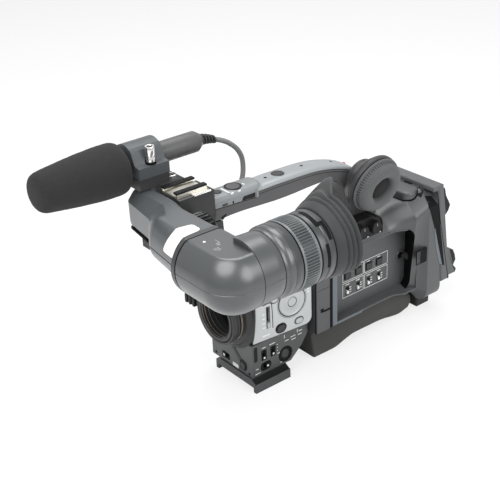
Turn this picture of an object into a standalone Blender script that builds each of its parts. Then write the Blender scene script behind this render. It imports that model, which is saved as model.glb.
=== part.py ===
"""Shoulder camcorder without a lens: metres, +Z up, front towards -Y, operator's left side towards +X.

The origin lies on the tripod plate's bottom face, in the handle's centre plane.
"""
import math

import bmesh
import bpy
from mathutils import Matrix, Vector

# Clearances and walls
FIT = 0.0003
RUN = 0.0005
WALL = 0.0025
PASS = 0.001

# Tripod plate
PLATE_LEFT = 0.0275
PLATE_WIDTH = 0.060
PLATE_LENGTH = 0.041
PLATE_HEIGHT = 0.0093
WEDGE_HEIGHT = 0.003
WEDGE_LEDGE = 0.0015
SCREW_HOLE_RADIUS = 0.0032
SCREW_HOLE_DEPTH = 0.008
SCREW_HOLE_PITCH = 0.016
PLATE_RELIEF = 0.0048
PLATE_RELIEF_LENGTH = 0.0087
PLATE_LIP = 0.0038

# Switch block
BLOCK_LEFT = 0.021
BLOCK_RIGHT = -0.039
BLOCK_FRONT = -0.019
BLOCK_REAR = 0.048
BLOCK_TOP = 0.0467
BLOCK_FOOT_REAR = 0.027
BLOCK_HEEL = 0.040
POCKET_DEPTH = 0.0035
KNOB_PROUD = 0.0008
GAIN_Y = -0.0049
WHITE_Y = 0.0058
TOGGLE_Z = 0.0322
TOGGLE_SLOT_WIDTH = 0.0042
TOGGLE_SLOT_HEIGHT = 0.0085
TOGGLE_KNOB = 0.0030
POWER_Y = -0.0031
POWER_Z = 0.0200
POWER_SLOT_LENGTH = 0.0100
POWER_SLOT_HEIGHT = 0.0062
POWER_KNOB_LENGTH = 0.0046
TRIGGER_Y = 0.0205
TRIGGER_Z = 0.0225
TRIGGER_RADIUS = 0.0048
TRIGGER_DEPTH = 0.006
FRONT_SWITCH_X = -0.0180
FRONT_SWITCH_Z = 0.0195
FRONT_SLOT_LENGTH = 0.0110
FRONT_SLOT_HEIGHT = 0.0065
FRONT_KNOB_LENGTH = 0.0050
FRONT_BUTTON_X = 0.0074
FRONT_BUTTON_Z = 0.0205
FRONT_BUTTON_RADIUS = 0.0036

# Front casing, lens mount and sensor
FRONT_TOP = 0.112
NECK_STEP = 0.002
LENS_X = -0.010
LENS_Z = 0.0715
MOUNT_BORE = 0.0195
MOUNT_BARREL = 0.0245
MOUNT_FLANGE = 0.0300
MOUNT_FLANGE_THICK = 0.0030
MOUNT_REACH = 0.0160
RING_WALL = 0.0025
RING_WIDTH = 0.0080
LEVER_REACH = 0.0180
LEVER_WIDTH = 0.0100
SENSOR_HALF = 0.0195
SENSOR_DEPTH = 0.0200
SENSOR_POCKET_RADIUS = 0.0160
SENSOR_POCKET_DEPTH = 0.0040

# Control panel, in its own frame: outward, rearward, up
PANEL_X = 0.020
PANEL_Y = -0.016
PANEL_TURN = math.radians(4.9)
PANEL_THICK = 0.003
PANEL_BOTTOM = 0.0475
PANEL_TOP = 0.1115
PANEL_LENGTH = 0.0655
PANEL_CORNER = 0.007
PANEL_ARC_DEPTH = 0.004
BUTTON_BACK = 0.0018
BUTTON_PROUD = 0.0008
CURSOR_U = 0.0435
CURSOR_Z = 0.077
CURSOR_RADIUS = 0.0142
SET_RADIUS = 0.0045
ROUND_U = 0.0242
ROUND_Z = 0.0870
ROUND_RADIUS = 0.0040
OVAL_U = 0.0511
OVAL_Z = 0.0545
OVAL_LENGTH = 0.0080
OVAL_HEIGHT = 0.0052
DARK_U = 0.0308
DARK_Z = 0.0536
DARK_LENGTH = 0.0088
DARK_HEIGHT = 0.0066
SLIDER_U = 0.0172
SLIDER_SLOT_LOW = 0.0590
SLIDER_SLOT_HIGH = 0.0805
SLIDER_SLOT_WIDTH = 0.0036
SLIDER_KNOB_HEIGHT = 0.0050

# Main casing: left and right halves
CASE_SPLIT = -0.010
CASE_GAP = 0.0035
CASE_LEFT = 0.028
CASE_RIGHT = -0.042
CASE_FLARE = 0.040
CASE_BOTTOM = 0.031
CASE_SHOULDER = 0.108
CASE_TOP = 0.122
CASE_SLOPE = 0.014
CASE_EDGE = 0.006
FLARE_LENGTH = 0.024
FLARE_RISE = 0.016
FLARE_EDGE = 0.014
HEEL_DROP = 0.0135
HEEL_INNER = 0.0204
FOOT_FLARE_LENGTH = 0.018
REAR_Y = 0.2005
REAR_BAND = 0.0105
REAR_LEAN = 0.090

# Screen bay
BAY_FRONT = 0.0775
BAY_REAR_INSET = 0.007
BAY_BOTTOM = 0.0340
BAY_TOP = 0.1065
BAY_FLOOR_X = 0.017
BAY_FLOOR_THICK = 0.002
BAY_WALL = 0.0015
BAY_RIM_X = 0.0275
BAY_END_X = 0.0335
KEY_FIRST_Y = 0.1031
KEY_PITCH = 0.0140
KEY_COUNT = 4
KEY_Z = 0.0728
KEY_LENGTH = 0.0066
KEY_HEIGHT = 0.0058
KEY_PROUD = 0.0010
MAT_THICK = 0.0012
MAT_MARGIN = 0.003
BAY_SWITCH_Z = 0.0560
BAY_SLOT_WIDTH = 0.0034
BAY_SLOT_HEIGHT = 0.0078
BAY_KNOB_WIDTH = 0.0024
BAY_KNOB_HEIGHT = 0.0030

# Audio pod on the left casing
POD_FRONT = 0.098
POD_REAR = 0.140
POD_TOP = 0.1325
POD_FACE = 0.0255
POD_DEPTH = 0.0136
AUDIO_KNOB_RADIUS = 0.0062
AUDIO_KNOB_LENGTH = 0.0060
AUDIO_KNOB_PITCH = 0.0165
AUDIO_KNOB_Z = 0.1200
AUDIO_KNOB_RIBS = 14

# Circuit board
BOARD_THICK = 0.0016
BOARD_FRONT = 0.060
BOARD_REAR_GAP = 0.025

# Shoulder pad and rear foot
PAD_LEFT = 0.020
PAD_RIGHT = -0.034
PAD_FRONT = 0.052
PAD_REAR_INSET = 0.0105
PAD_ARCH = 0.0065
PAD_EDGE = 0.002
FOOT_INSET = 0.0019
FOOT_LENGTH = 0.0188
FOOT_LEFT = 0.020
FOOT_RIGHT = -0.026

# Battery plate
BATTERY_HALF_WIDTH = 0.040
BATTERY_THICK = 0.009
BATTERY_FOOT_THICK = 0.0145
BATTERY_TOP = 0.142
BATTERY_BOTTOM = 0.033
RAIL_OUTER = 0.038
RAIL_WIDTH = 0.012
RAIL_REACH = 0.0115

# Handle
HANDLE_HALF_WIDTH = 0.0115
HANDLE_FRONT = -0.043
HANDLE_SEAM_Z = 0.1893
HANDLE_BEND_Y = 0.029
HANDLE_REAR = 0.133
HANDLE_TAIL_Z = 0.161
HANDLE_UNDER_Z = 0.1755
HEEL_FRONT = 0.108
HEEL_REAR = 0.146
HUMP_END = 0.006
HUMP_SLOPE = 0.006
COVER_TAIL = 0.020
COVER_EDGE = 0.0025
COVER_CROWN = 0.0040
HANDLE_BUTTON_BACK = 0.0026
RECORD_BUTTON_Y = -0.0150
RECORD_BUTTON_RADIUS = 0.0062
SMALL_BUTTON_Y = -0.0319
SMALL_BUTTON_RADIUS = 0.0038
ROUND_BUTTON_Y = 0.0345
ROUND_BUTTON_RADIUS = 0.0056

# Handle front block with the viewfinder rail, and the accessory shoe
SHOE_BLOCK_HALF_WIDTH = 0.0125
SHOE_BLOCK_FRONT = -0.0780
SHOE_BLOCK_TOP = 0.2065
SHOE_BLOCK_HEIGHT = 0.0215
SHOE_BLOCK_CHIN = 0.0265
COLUMN_HALF_WIDTH = 0.0110
COLUMN_FOOT_FRONT = -0.0170
COLUMN_FOOT_REAR = 0.0280
COLUMN_WAIST_Y = -0.0335
COLUMN_WAIST_Z = 0.1500
COLUMN_NECK_Y = -0.0350
COLUMN_NECK_Z = 0.1745
RAIL_LEFT = 0.042
RAIL_RIGHT = -0.0105
RAIL_BELOW = 0.015
RAIL_ABOVE = 0.011
RAIL_THICK = 0.003
TONGUE_DEPTH = 0.006
TONGUE_HEIGHT = 0.010
TONGUE_END_INSET = 0.012
SHOE_LENGTH = 0.030
SHOE_BASE = 0.0015
SHOE_SLOT_WIDTH = 0.0186
SHOE_SLOT_HEIGHT = 0.0021
SHOE_LIP_GAP = 0.0125
SHOE_LIP = 0.0014
SHOE_WALL = 0.0015

# Microphone, its holder and clamp
MIC_X = -0.036
MIC_Z = 0.2297
MIC_RADIUS = 0.0092
MIC_FRONT = -0.172
MIC_REAR = -0.0290
BOOT_LENGTH = 0.0120
BOOT_RADIUS = 0.0062
FOAM_FRONT = -0.1820
FOAM_REAR = -0.1000
FOAM_RADIUS = 0.0222
FOAM_TIP_RADIUS = 0.0172
FOAM_DROP = 0.0017
CLAMP_FRONT = -0.0960
CLAMP_REAR = -0.0670
CLAMP_OUTER = 0.0165
FLANGE_REACH = 0.0215
FLANGE_LOW = 0.0085
FLANGE_HIGH = 0.0010
HOLDER_DEPTH = 0.0187
PEDESTAL_REAR = -0.0545
PEDESTAL_BOTTOM = 0.196
PEDESTAL_RIGHT = -0.0510
SCREW_INSET = 0.0050
SCREW_RADIUS = 0.0042
SCREW_HEIGHT = 0.0150
SCREW_RIBS = 12

# Audio input box, plug and microphone cord
INPUT_RIGHT = -0.050
INPUT_REAR = -0.0463
INPUT_BOTTOM = 0.143
INPUT_TOP = 0.180
PLUG_X = -0.0325
PLUG_Z = 0.1612
PLUG_RADIUS = 0.0092
PLUG_LENGTH = 0.0280
PLUG_TAIL = 0.0080
CORD_RADIUS = 0.0024
CORD_STEPS = 5

# Speaker
SPEAKER_Y = 0.1248
SPEAKER_Z = 0.1692
SPEAKER_TILT = math.radians(14)
SPEAKER_RADIUS = 0.0274
SPEAKER_LENGTH = 0.0180
SPEAKER_STUB = 0.0060
EAR_RADIUS = 0.0270
EAR_HOLE = 0.0116
EAR_THICK = 0.0120

# Viewfinder
VF_ARM_Y = -0.103
VF_Z = 0.187
VF_RADIUS = 0.0276
VF_FLAT_DROP = 0.0046
VF_BORE = 0.0190
ARM_BORE = 0.0145
ARM_BORE_END = 0.044
ARM_SLIM_REACH = 0.0174
ARM_FULL_REACH = 0.0230
ARM_RISE = 0.0260
ARM_RIM_START = 0.0750
ARM_RIGHT = -0.028
ARM_REAR = -0.0818
NOSE_FRONT = -0.1020
NOSE_SLANT = 0.15
NOSE_BOTTOM = 0.178
NOSE_EDGE_Z = 0.2010
NOSE_FLAT_DEPTH = 0.0125
NOSE_LEFT = 0.010
NOSE_SWEEP_END = 0.033
SEAM_X = 0.078
TUBE_X = 0.112
TUBE_SEAM_Y = -0.0742
FLAT_END_Y = -0.095
TUBE_RADIUS = 0.0270
COLLAR_Y = -0.0700
COLLAR_RADIUS = 0.0288
FOCUS_FRONT = -0.0580
FOCUS_REAR = -0.0405
FOCUS_RADIUS = 0.0292
FOCUS_RIBS = 40
NECK_RADIUS = 0.0255
EYE_COLLAR_LENGTH = 0.0140
EYE_COLLAR_RADIUS = 0.0288
EYE_LENS_RADIUS = 0.0185
EYE_LENS_THICK = 0.0040
EYECUP_LENGTH = 0.0190
EYECUP_RIM = 0.0365
EYECUP_WALL = 0.0022
EYECUP_WING = 0.0200
TALLY_LOW = 0.0575
TALLY_HIGH = 0.0745
TALLY_THICK = 0.0008
WHEEL_X = 0.0278
WHEEL_DROP = 0.004
WHEEL_RADIUS = 0.0135
WHEEL_LENGTH = 0.0137
WHEEL_RIBS = 20

# Heights and places that follow from the sizes above
BLOCK_BOTTOM = PLATE_HEIGHT + WEDGE_HEIGHT + FIT
FRONT_BOTTOM = BLOCK_TOP + FIT
CASE_FRONT = BLOCK_REAR + CASE_GAP
SHOE_TOP = SHOE_BLOCK_TOP + FIT
MOUNT_SEAT = BLOCK_FRONT - FIT
MOUNT_FRONT = MOUNT_SEAT - MOUNT_REACH
FOOT_FLARE_END = REAR_Y - REAR_BAND
FOOT_FLARE_START = FOOT_FLARE_END - FOOT_FLARE_LENGTH
FLARE_END = FOOT_FLARE_START
FLARE_START = FLARE_END - FLARE_LENGTH
BAY_REAR = FOOT_FLARE_END - BAY_REAR_INSET
BOARD_REAR = FOOT_FLARE_END - BOARD_REAR_GAP
PAD_REAR = REAR_Y - PAD_REAR_INSET
FOOT_FRONT = REAR_Y - FOOT_INSET
VF_TOP = VF_Z + VF_RADIUS - VF_FLAT_DROP
RAIL_BOTTOM = VF_Z - RAIL_BELOW
RAIL_TOP = VF_Z + RAIL_ABOVE
WHEEL_Z = VF_Z - WHEEL_DROP


def arc(centre, radius, start, end, steps):
    """Points of an arc in degrees, both ends included."""
    points = []
    for step in range(steps + 1):
        angle = math.radians(start + (end - start) * step / steps)
        points.append((centre[0] + radius * math.cos(angle), centre[1] + radius * math.sin(angle)))
    return points


def smooth(points, steps):
    """A smooth open curve through the points, read at equal parts of each stretch."""
    vectors = [Vector(point) for point in points]
    ends = [vectors[0] * 2 - vectors[1]] + vectors + [vectors[-1] * 2 - vectors[-2]]
    curve = []
    for index in range(1, len(ends) - 2):
        a, b, c, d = ends[index - 1:index + 3]
        for step in range(steps):
            t = step / steps
            point = b * 2 + (c - a) * t + (a * 2 - b * 5 + c * 4 - d) * t * t
            point += (b * 3 - a - c * 3 + d) * t ** 3
            curve.append(tuple(point * 0.5))
    curve.append(tuple(vectors[-1]))
    return curve


def at(points, value):
    """The height of an open outline at one place along it."""
    for (low, low_height), (high, high_height) in zip(points, points[1:]):
        if low <= value <= high:
            return low_height + (high_height - low_height) * (value - low) / (high - low)
    return points[-1][1] if value > points[-1][0] else points[0][1]


def place(axis, first, second, along):
    """A point from two coordinates across an axis and one along it."""
    if axis == "X":
        return (along, first, second)
    if axis == "Y":
        return (first, along, second)
    return (first, second, along)


def box(low, high):
    bm = bmesh.new()
    bmesh.ops.create_cube(bm, size=1)
    size = [b - a for a, b in zip(low, high)]
    middle = [(a + b) / 2 for a, b in zip(low, high)]
    bmesh.ops.scale(bm, vec=size, verts=bm.verts)
    bmesh.ops.translate(bm, vec=middle, verts=bm.verts)
    return bm


def loft(sections):
    """A closed solid through loops of equally many points."""
    bm = bmesh.new()
    loops = [[bm.verts.new(point) for point in section] for section in sections]
    for low, high in zip(loops, loops[1:]):
        for index in range(len(low)):
            after = (index + 1) % len(low)
            bm.faces.new((low[index], low[after], high[after], high[index]))
    bm.faces.new(loops[0])
    bm.faces.new(loops[-1])
    return bm


def prism(outline, axis, low, high):
    return loft([[place(axis, a, b, along) for a, b in outline] for along in (low, high)])


def turned(profile, axis, centre, segments=32, rib_depth=0.0, ribbed=()):
    """A turned solid or ring from (radius, place along the axis) points; ribbed points alternate in radius."""
    bm = bmesh.new()
    loops = []
    for index, (radius, along) in enumerate(profile):
        if radius == 0:
            loops.append([bm.verts.new(place(axis, centre[0], centre[1], along))])
            continue
        loop = []
        for segment in range(segments):
            angle = 2 * math.pi * segment / segments
            reach = radius - rib_depth * (segment % 2) * (index in ribbed)
            across = (centre[0] + reach * math.cos(angle), centre[1] + reach * math.sin(angle))
            loop.append(bm.verts.new(place(axis, across[0], across[1], along)))
        loops.append(loop)
    pairs = list(zip(loops, loops[1:]))
    if profile[0][0] > 0:
        pairs.append((loops[-1], loops[0]))
    for low, high in pairs:
        for segment in range(segments):
            after = (segment + 1) % segments
            corners = [low[segment % len(low)], low[after % len(low)]]
            corners += [high[after % len(high)], high[segment % len(high)]]
            bm.faces.new(list(dict.fromkeys(corners)))
    return bm


def rod(radius, axis, centre, low, high, segments=24):
    return turned([(0, low), (radius, low), (radius, high), (0, high)], axis, centre, segments)


def link(name, bm, origin=(0, 0, 0), parent=None):
    """A named object whose own origin lies at the given place of its frame."""
    bmesh.ops.recalc_face_normals(bm, faces=bm.faces)
    bm.transform(Matrix.Translation(-Vector(origin)))
    mesh = bpy.data.meshes.new(name)
    bm.to_mesh(mesh)
    bm.free()
    obj = bpy.data.objects.new(name, mesh)
    obj.location = origin
    obj.parent = parent
    bpy.context.collection.objects.link(obj)
    return obj


def boolean(obj, bm, operation):
    tool = link(obj.name + "_tool", bm, parent=obj.parent)
    tool.hide_render = True
    tool.display_type = "WIRE"
    modifier = obj.modifiers.new("shape", "BOOLEAN")
    modifier.operation = operation
    modifier.solver = "EXACT"
    modifier.object = tool


def cut(obj, bm):
    boolean(obj, bm, "DIFFERENCE")


def join(obj, bm):
    boolean(obj, bm, "UNION")


def soften(obj, width, segments=1):
    """Rounded edges on a simple solid, before its cuts."""
    modifier = obj.modifiers.new("edges", "BEVEL")
    modifier.width = width
    modifier.segments = segments
    modifier.limit_method = "ANGLE"
    modifier.angle_limit = math.radians(40)


def finish(obj, colour, roughness, metallic=0.0):
    """The piece's own material, and smooth shading on its round sides."""
    material = bpy.data.materials.new(obj.name)
    material.use_nodes = True
    shader = material.node_tree.nodes["Principled BSDF"]
    shader.inputs["Base Color"].default_value = (*colour, 1.0)
    shader.inputs["Roughness"].default_value = roughness
    shader.inputs["Metallic"].default_value = metallic
    obj.data.materials.append(material)
    obj.data.shade_smooth()
    obj.data.set_sharp_from_angle(angle=math.radians(35))


BODY_GREY = (0.065, 0.067, 0.070)
DARK_GREY = (0.030, 0.030, 0.032)
BLACK = (0.012, 0.012, 0.013)
SATIN_GREY = (0.075, 0.083, 0.088)
SILVER = (0.60, 0.61, 0.62)
HANDLE_SILVER = (0.36, 0.38, 0.39)
STEEL = (0.62, 0.60, 0.56)
RUBBER = (0.055, 0.054, 0.053)
FOAM = (0.024, 0.023, 0.023)
CORD_GREY = (0.13, 0.13, 0.135)
KNOB_WHITE = (0.70, 0.70, 0.68)


def build_tripod_plate():
    right = PLATE_LEFT - PLATE_WIDTH
    top = PLATE_HEIGHT + WEDGE_HEIGHT
    slope = PLATE_LEFT - WEDGE_LEDGE - BLOCK_LEFT
    outline = [(right, 0), (PLATE_LEFT, 0), (PLATE_LEFT, PLATE_HEIGHT)]
    outline += [(PLATE_LEFT - WEDGE_LEDGE, PLATE_HEIGHT), (BLOCK_LEFT, top)]
    outline += [(right + WEDGE_LEDGE + slope, top), (right + WEDGE_LEDGE, PLATE_HEIGHT), (right, PLATE_HEIGHT)]
    plate = link("tripod_plate", prism(outline, "Y", -PLATE_LENGTH / 2, PLATE_LENGTH / 2))
    middle = PLATE_LEFT - PLATE_WIDTH / 2
    for side in (-1, 1):
        hole = (middle, side * SCREW_HOLE_PITCH / 2)
        cut(plate, rod(SCREW_HOLE_RADIUS, "Z", hole, -PASS, SCREW_HOLE_DEPTH, 16))
        ends = sorted((side * (PLATE_LENGTH / 2 - PLATE_RELIEF_LENGTH), side * (PLATE_LENGTH / 2 + PASS)))
        low = (right + PLATE_LIP, ends[0], -PASS)
        cut(plate, box(low, (PLATE_LEFT - PLATE_LIP, ends[1], PLATE_RELIEF)))
    finish(plate, DARK_GREY, 0.45)


def build_switch_block():
    heel_low = BLOCK_BOTTOM + (BLOCK_TOP - BLOCK_BOTTOM) * 0.33
    heel_high = BLOCK_BOTTOM + (BLOCK_TOP - BLOCK_BOTTOM) * 0.66
    outline = [(BLOCK_FRONT, BLOCK_BOTTOM), (BLOCK_FOOT_REAR, BLOCK_BOTTOM), (BLOCK_HEEL, heel_low)]
    outline += [(BLOCK_REAR, heel_high), (BLOCK_REAR, BLOCK_TOP), (BLOCK_FRONT, BLOCK_TOP)]
    block = link("switch_block", prism(outline, "X", BLOCK_RIGHT, BLOCK_LEFT))
    floor = BLOCK_LEFT - POCKET_DEPTH
    for y in (GAIN_Y, WHITE_Y):
        half = (TOGGLE_SLOT_WIDTH / 2, TOGGLE_SLOT_HEIGHT / 2)
        low = (floor, y - half[0], TOGGLE_Z - half[1])
        cut(block, box(low, (BLOCK_LEFT + PASS, y + half[0], TOGGLE_Z + half[1])))
    half = (POWER_SLOT_LENGTH / 2, POWER_SLOT_HEIGHT / 2)
    low = (floor, POWER_Y - half[0], POWER_Z - half[1])
    cut(block, box(low, (BLOCK_LEFT + PASS, POWER_Y + half[0], POWER_Z + half[1])))
    recess = TRIGGER_RADIUS + RUN
    cut(block, rod(recess, "X", (TRIGGER_Y, TRIGGER_Z), BLOCK_LEFT - TRIGGER_DEPTH, BLOCK_LEFT + PASS, 20))
    half = (FRONT_SLOT_LENGTH / 2, FRONT_SLOT_HEIGHT / 2)
    low = (FRONT_SWITCH_X - half[0], BLOCK_FRONT - PASS, FRONT_SWITCH_Z - half[1])
    high = (FRONT_SWITCH_X + half[0], BLOCK_FRONT + POCKET_DEPTH, FRONT_SWITCH_Z + half[1])
    cut(block, box(low, high))
    centre = (FRONT_BUTTON_X, FRONT_BUTTON_Z)
    cut(block, rod(FRONT_BUTTON_RADIUS + RUN, "Y", centre, BLOCK_FRONT - PASS, BLOCK_FRONT + POCKET_DEPTH, 16))
    finish(block, BODY_GREY, 0.5)


def build_block_switches():
    floor = BLOCK_LEFT - POCKET_DEPTH + FIT
    proud = BLOCK_LEFT + KNOB_PROUD
    low = TOGGLE_Z - TOGGLE_SLOT_HEIGHT / 2 + RUN
    for name, y in (("gain_switch", GAIN_Y), ("white_balance_switch", WHITE_Y)):
        half = TOGGLE_KNOB / 2
        origin = (floor, y, low + half)
        knob = link(name, box((floor, y - half, low), (proud, y + half, low + TOGGLE_KNOB)), origin)
        finish(knob, KNOB_WHITE, 0.45)
    far = POWER_Y + POWER_SLOT_LENGTH / 2 - RUN
    half = POWER_SLOT_HEIGHT / 2 - RUN
    near = far - POWER_KNOB_LENGTH
    origin = (floor, far, POWER_Z)
    power = link("power_switch", box((floor, near, POWER_Z - half), (proud, far, POWER_Z + half)), origin)
    finish(power, DARK_GREY, 0.5)
    centre = (TRIGGER_Y, TRIGGER_Z)
    back = BLOCK_LEFT - TRIGGER_DEPTH + 0.0025
    profile = [(0, back), (TRIGGER_RADIUS, back), (TRIGGER_RADIUS, BLOCK_LEFT - 0.0006)]
    profile += [(TRIGGER_RADIUS * 0.8, BLOCK_LEFT), (0, BLOCK_LEFT - 0.0003)]
    trigger = link("record_trigger", turned(profile, "X", centre, 20), (back, *centre))
    finish(trigger, DARK_GREY, 0.4)
    half = FRONT_SLOT_HEIGHT / 2 - RUN
    back = BLOCK_FRONT + POCKET_DEPTH - FIT
    near = FRONT_SWITCH_X - FRONT_SLOT_LENGTH / 2 + RUN
    low = (near, BLOCK_FRONT - KNOB_PROUD, FRONT_SWITCH_Z - half)
    high = (near + FRONT_KNOB_LENGTH, back, FRONT_SWITCH_Z + half)
    finish(link("front_switch", box(low, high), (near, back, FRONT_SWITCH_Z)), DARK_GREY, 0.5)
    centre = (FRONT_BUTTON_X, FRONT_BUTTON_Z)
    back = BLOCK_FRONT + POCKET_DEPTH - 0.0012
    button = rod(FRONT_BUTTON_RADIUS, "Y", centre, BLOCK_FRONT - KNOB_PROUD, back, 16)
    finish(link("front_button", button, (centre[0], back, centre[1])), DARK_GREY, 0.4)


def panel_side(y, inset):
    """X of a plane that lies inside the control panel's outer face."""
    return PANEL_X + (y - PANEL_Y) * math.tan(PANEL_TURN) - inset / math.cos(PANEL_TURN)


def build_front_casing():
    inset = PANEL_THICK + FIT
    outline = [(BLOCK_RIGHT, BLOCK_FRONT), (panel_side(BLOCK_FRONT, inset), BLOCK_FRONT)]
    outline += [(panel_side(BLOCK_REAR, inset), BLOCK_REAR), (BLOCK_RIGHT, BLOCK_REAR)]
    casing = link("front_casing", prism(outline, "Z", FRONT_BOTTOM, FRONT_TOP))
    seat = CASE_FRONT - FIT
    step = inset + NECK_STEP
    start = BLOCK_REAR - WALL
    neck = [(BLOCK_RIGHT + NECK_STEP, start), (panel_side(start, step), start)]
    neck += [(panel_side(start, step), seat), (BLOCK_RIGHT + NECK_STEP, seat)]
    join(casing, prism(neck, "Z", FRONT_BOTTOM + NECK_STEP, FRONT_TOP - NECK_STEP))
    wall = NECK_STEP + WALL
    front = BLOCK_FRONT + WALL
    inside = panel_side(front, inset + wall)
    low = (BLOCK_RIGHT + wall, front, FRONT_BOTTOM + wall)
    cut(casing, box(low, (inside, seat + PASS, FRONT_TOP - wall)))
    cut(casing, rod(MOUNT_BORE + RUN, "Y", (LENS_X, LENS_Z), BLOCK_FRONT - PASS, front + PASS, 32))
    finish(casing, BODY_GREY, 0.5)


def build_lens_mount():
    flange_front = MOUNT_SEAT - MOUNT_FLANGE_THICK
    profile = [(MOUNT_BORE, MOUNT_SEAT), (MOUNT_FLANGE, MOUNT_SEAT), (MOUNT_FLANGE, flange_front)]
    profile += [(MOUNT_BARREL, flange_front), (MOUNT_BARREL, MOUNT_FRONT), (MOUNT_BORE, MOUNT_FRONT)]
    mount = link("lens_mount", turned(profile, "Y", (LENS_X, LENS_Z), 40))
    finish(mount, DARK_GREY, 0.4)
    inner = MOUNT_BARREL + RUN
    outer = inner + RING_WALL
    front = MOUNT_FRONT + RUN
    rear = front + RING_WIDTH
    profile = [(inner, rear), (outer, rear), (outer, front), (inner, front)]
    ring = link("bayonet_ring", turned(profile, "Y", (LENS_X, LENS_Z), 40), (LENS_X, rear, LENS_Z))
    root = LENS_X - outer + RING_WALL / 2
    half = LEVER_WIDTH / 2
    join(ring, box((root - LEVER_REACH, front, LENS_Z - half), (root, rear, LENS_Z + half)))
    finish(ring, DARK_GREY, 0.45)


def build_sensor_block():
    front = BLOCK_FRONT + WALL + FIT
    low = (LENS_X - SENSOR_HALF, front, LENS_Z - SENSOR_HALF)
    high = (LENS_X + SENSOR_HALF, front + SENSOR_DEPTH, LENS_Z + SENSOR_HALF)
    block = link("sensor_block", box(low, high))
    pocket = front + SENSOR_POCKET_DEPTH
    cut(block, rod(SENSOR_POCKET_RADIUS, "Y", (LENS_X, LENS_Z), front - PASS, pocket, 24))
    finish(block, BLACK, 0.25)


def add_panel_frame():
    frame = bpy.data.objects.new("panel_frame", None)
    frame.location = (PANEL_X, PANEL_Y, 0)
    frame.rotation_euler = (0, 0, -PANEL_TURN)
    bpy.context.collection.objects.link(frame)
    return frame


def pill(u, z, length, height):
    """An oval outline with round ends, about its centre."""
    radius = height / 2
    reach = length / 2 - radius
    return arc((u + reach, z), radius, -90, 90, 6) + arc((u - reach, z), radius, 90, 270, 6)


def build_control_panel(frame):
    middle = (PANEL_BOTTOM + PANEL_TOP) / 2
    half = (PANEL_TOP - PANEL_BOTTOM) / 2
    front = []
    for step in range(9):
        part = 1 - step / 4
        front.append((PANEL_ARC_DEPTH * (1 - part * part), middle + half * part))
    corner = (PANEL_LENGTH - PANEL_CORNER, PANEL_BOTTOM + PANEL_CORNER)
    outline = front + arc(corner, PANEL_CORNER, -90, 0, 5) + [(PANEL_LENGTH, PANEL_TOP)]
    panel = link("control_panel", prism(outline, "X", -PANEL_THICK, 0), parent=frame)
    depth = (-PANEL_THICK - PASS, PASS)
    cut(panel, rod(CURSOR_RADIUS + RUN, "X", (CURSOR_U, CURSOR_Z), *depth, 32))
    cut(panel, rod(ROUND_RADIUS + RUN, "X", (ROUND_U, ROUND_Z), *depth, 16))
    gap = 2 * RUN
    cut(panel, prism(pill(OVAL_U, OVAL_Z, OVAL_LENGTH + gap, OVAL_HEIGHT + gap), "X", *depth))
    cut(panel, prism(pill(DARK_U, DARK_Z, DARK_LENGTH + gap, DARK_HEIGHT + gap), "X", *depth))
    low = (depth[0], SLIDER_U - SLIDER_SLOT_WIDTH / 2, SLIDER_SLOT_LOW)
    cut(panel, box(low, (depth[1], SLIDER_U + SLIDER_SLOT_WIDTH / 2, SLIDER_SLOT_HIGH)))
    finish(panel, SILVER, 0.35, 0.3)


def build_panel_controls(frame):
    back = -BUTTON_BACK
    centre = (CURSOR_U, CURSOR_Z)
    hole = SET_RADIUS + RUN
    profile = [(hole, back), (CURSOR_RADIUS, back), (CURSOR_RADIUS, BUTTON_PROUD), (hole, BUTTON_PROUD)]
    pad = link("cursor_pad", turned(profile, "X", centre, 32), (back, *centre), frame)
    finish(pad, SILVER, 0.3, 0.3)
    button = link("set_button", rod(SET_RADIUS, "X", centre, back, BUTTON_PROUD, 20), (back, *centre), frame)
    finish(button, SILVER, 0.3, 0.3)
    centre = (ROUND_U, ROUND_Z)
    button = link("round_button", rod(ROUND_RADIUS, "X", centre, back, BUTTON_PROUD, 16), (back, *centre), frame)
    finish(button, SILVER, 0.3, 0.3)
    outline = pill(OVAL_U, OVAL_Z, OVAL_LENGTH, OVAL_HEIGHT)
    button = link("oval_button", prism(outline, "X", back, BUTTON_PROUD), (back, OVAL_U, OVAL_Z), frame)
    finish(button, SILVER, 0.3, 0.3)
    outline = pill(DARK_U, DARK_Z, DARK_LENGTH, DARK_HEIGHT)
    button = link("dark_button", prism(outline, "X", back, BUTTON_PROUD), (back, DARK_U, DARK_Z), frame)
    finish(button, DARK_GREY, 0.4)
    half = SLIDER_SLOT_WIDTH / 2 - RUN
    low = SLIDER_SLOT_LOW + RUN
    floor = -PANEL_THICK + FIT
    knob = box((floor, SLIDER_U - half, low), (BUTTON_PROUD, SLIDER_U + half, low + SLIDER_KNOB_HEIGHT))
    finish(link("filter_slider", knob, (floor, SLIDER_U, low), frame), SILVER, 0.35, 0.3)


def flare_at(y, start, end):
    """How far the casing has widened at one place: slowly at first, then up to a crease."""
    part = min(max((y - start) / (end - start), 0), 1)
    return part * part


def left_side(y):
    """X of the left casing's upper side at one place along it."""
    return CASE_LEFT + (CASE_FLARE - CASE_LEFT) * flare_at(y, FLARE_START, FLARE_END)


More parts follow.
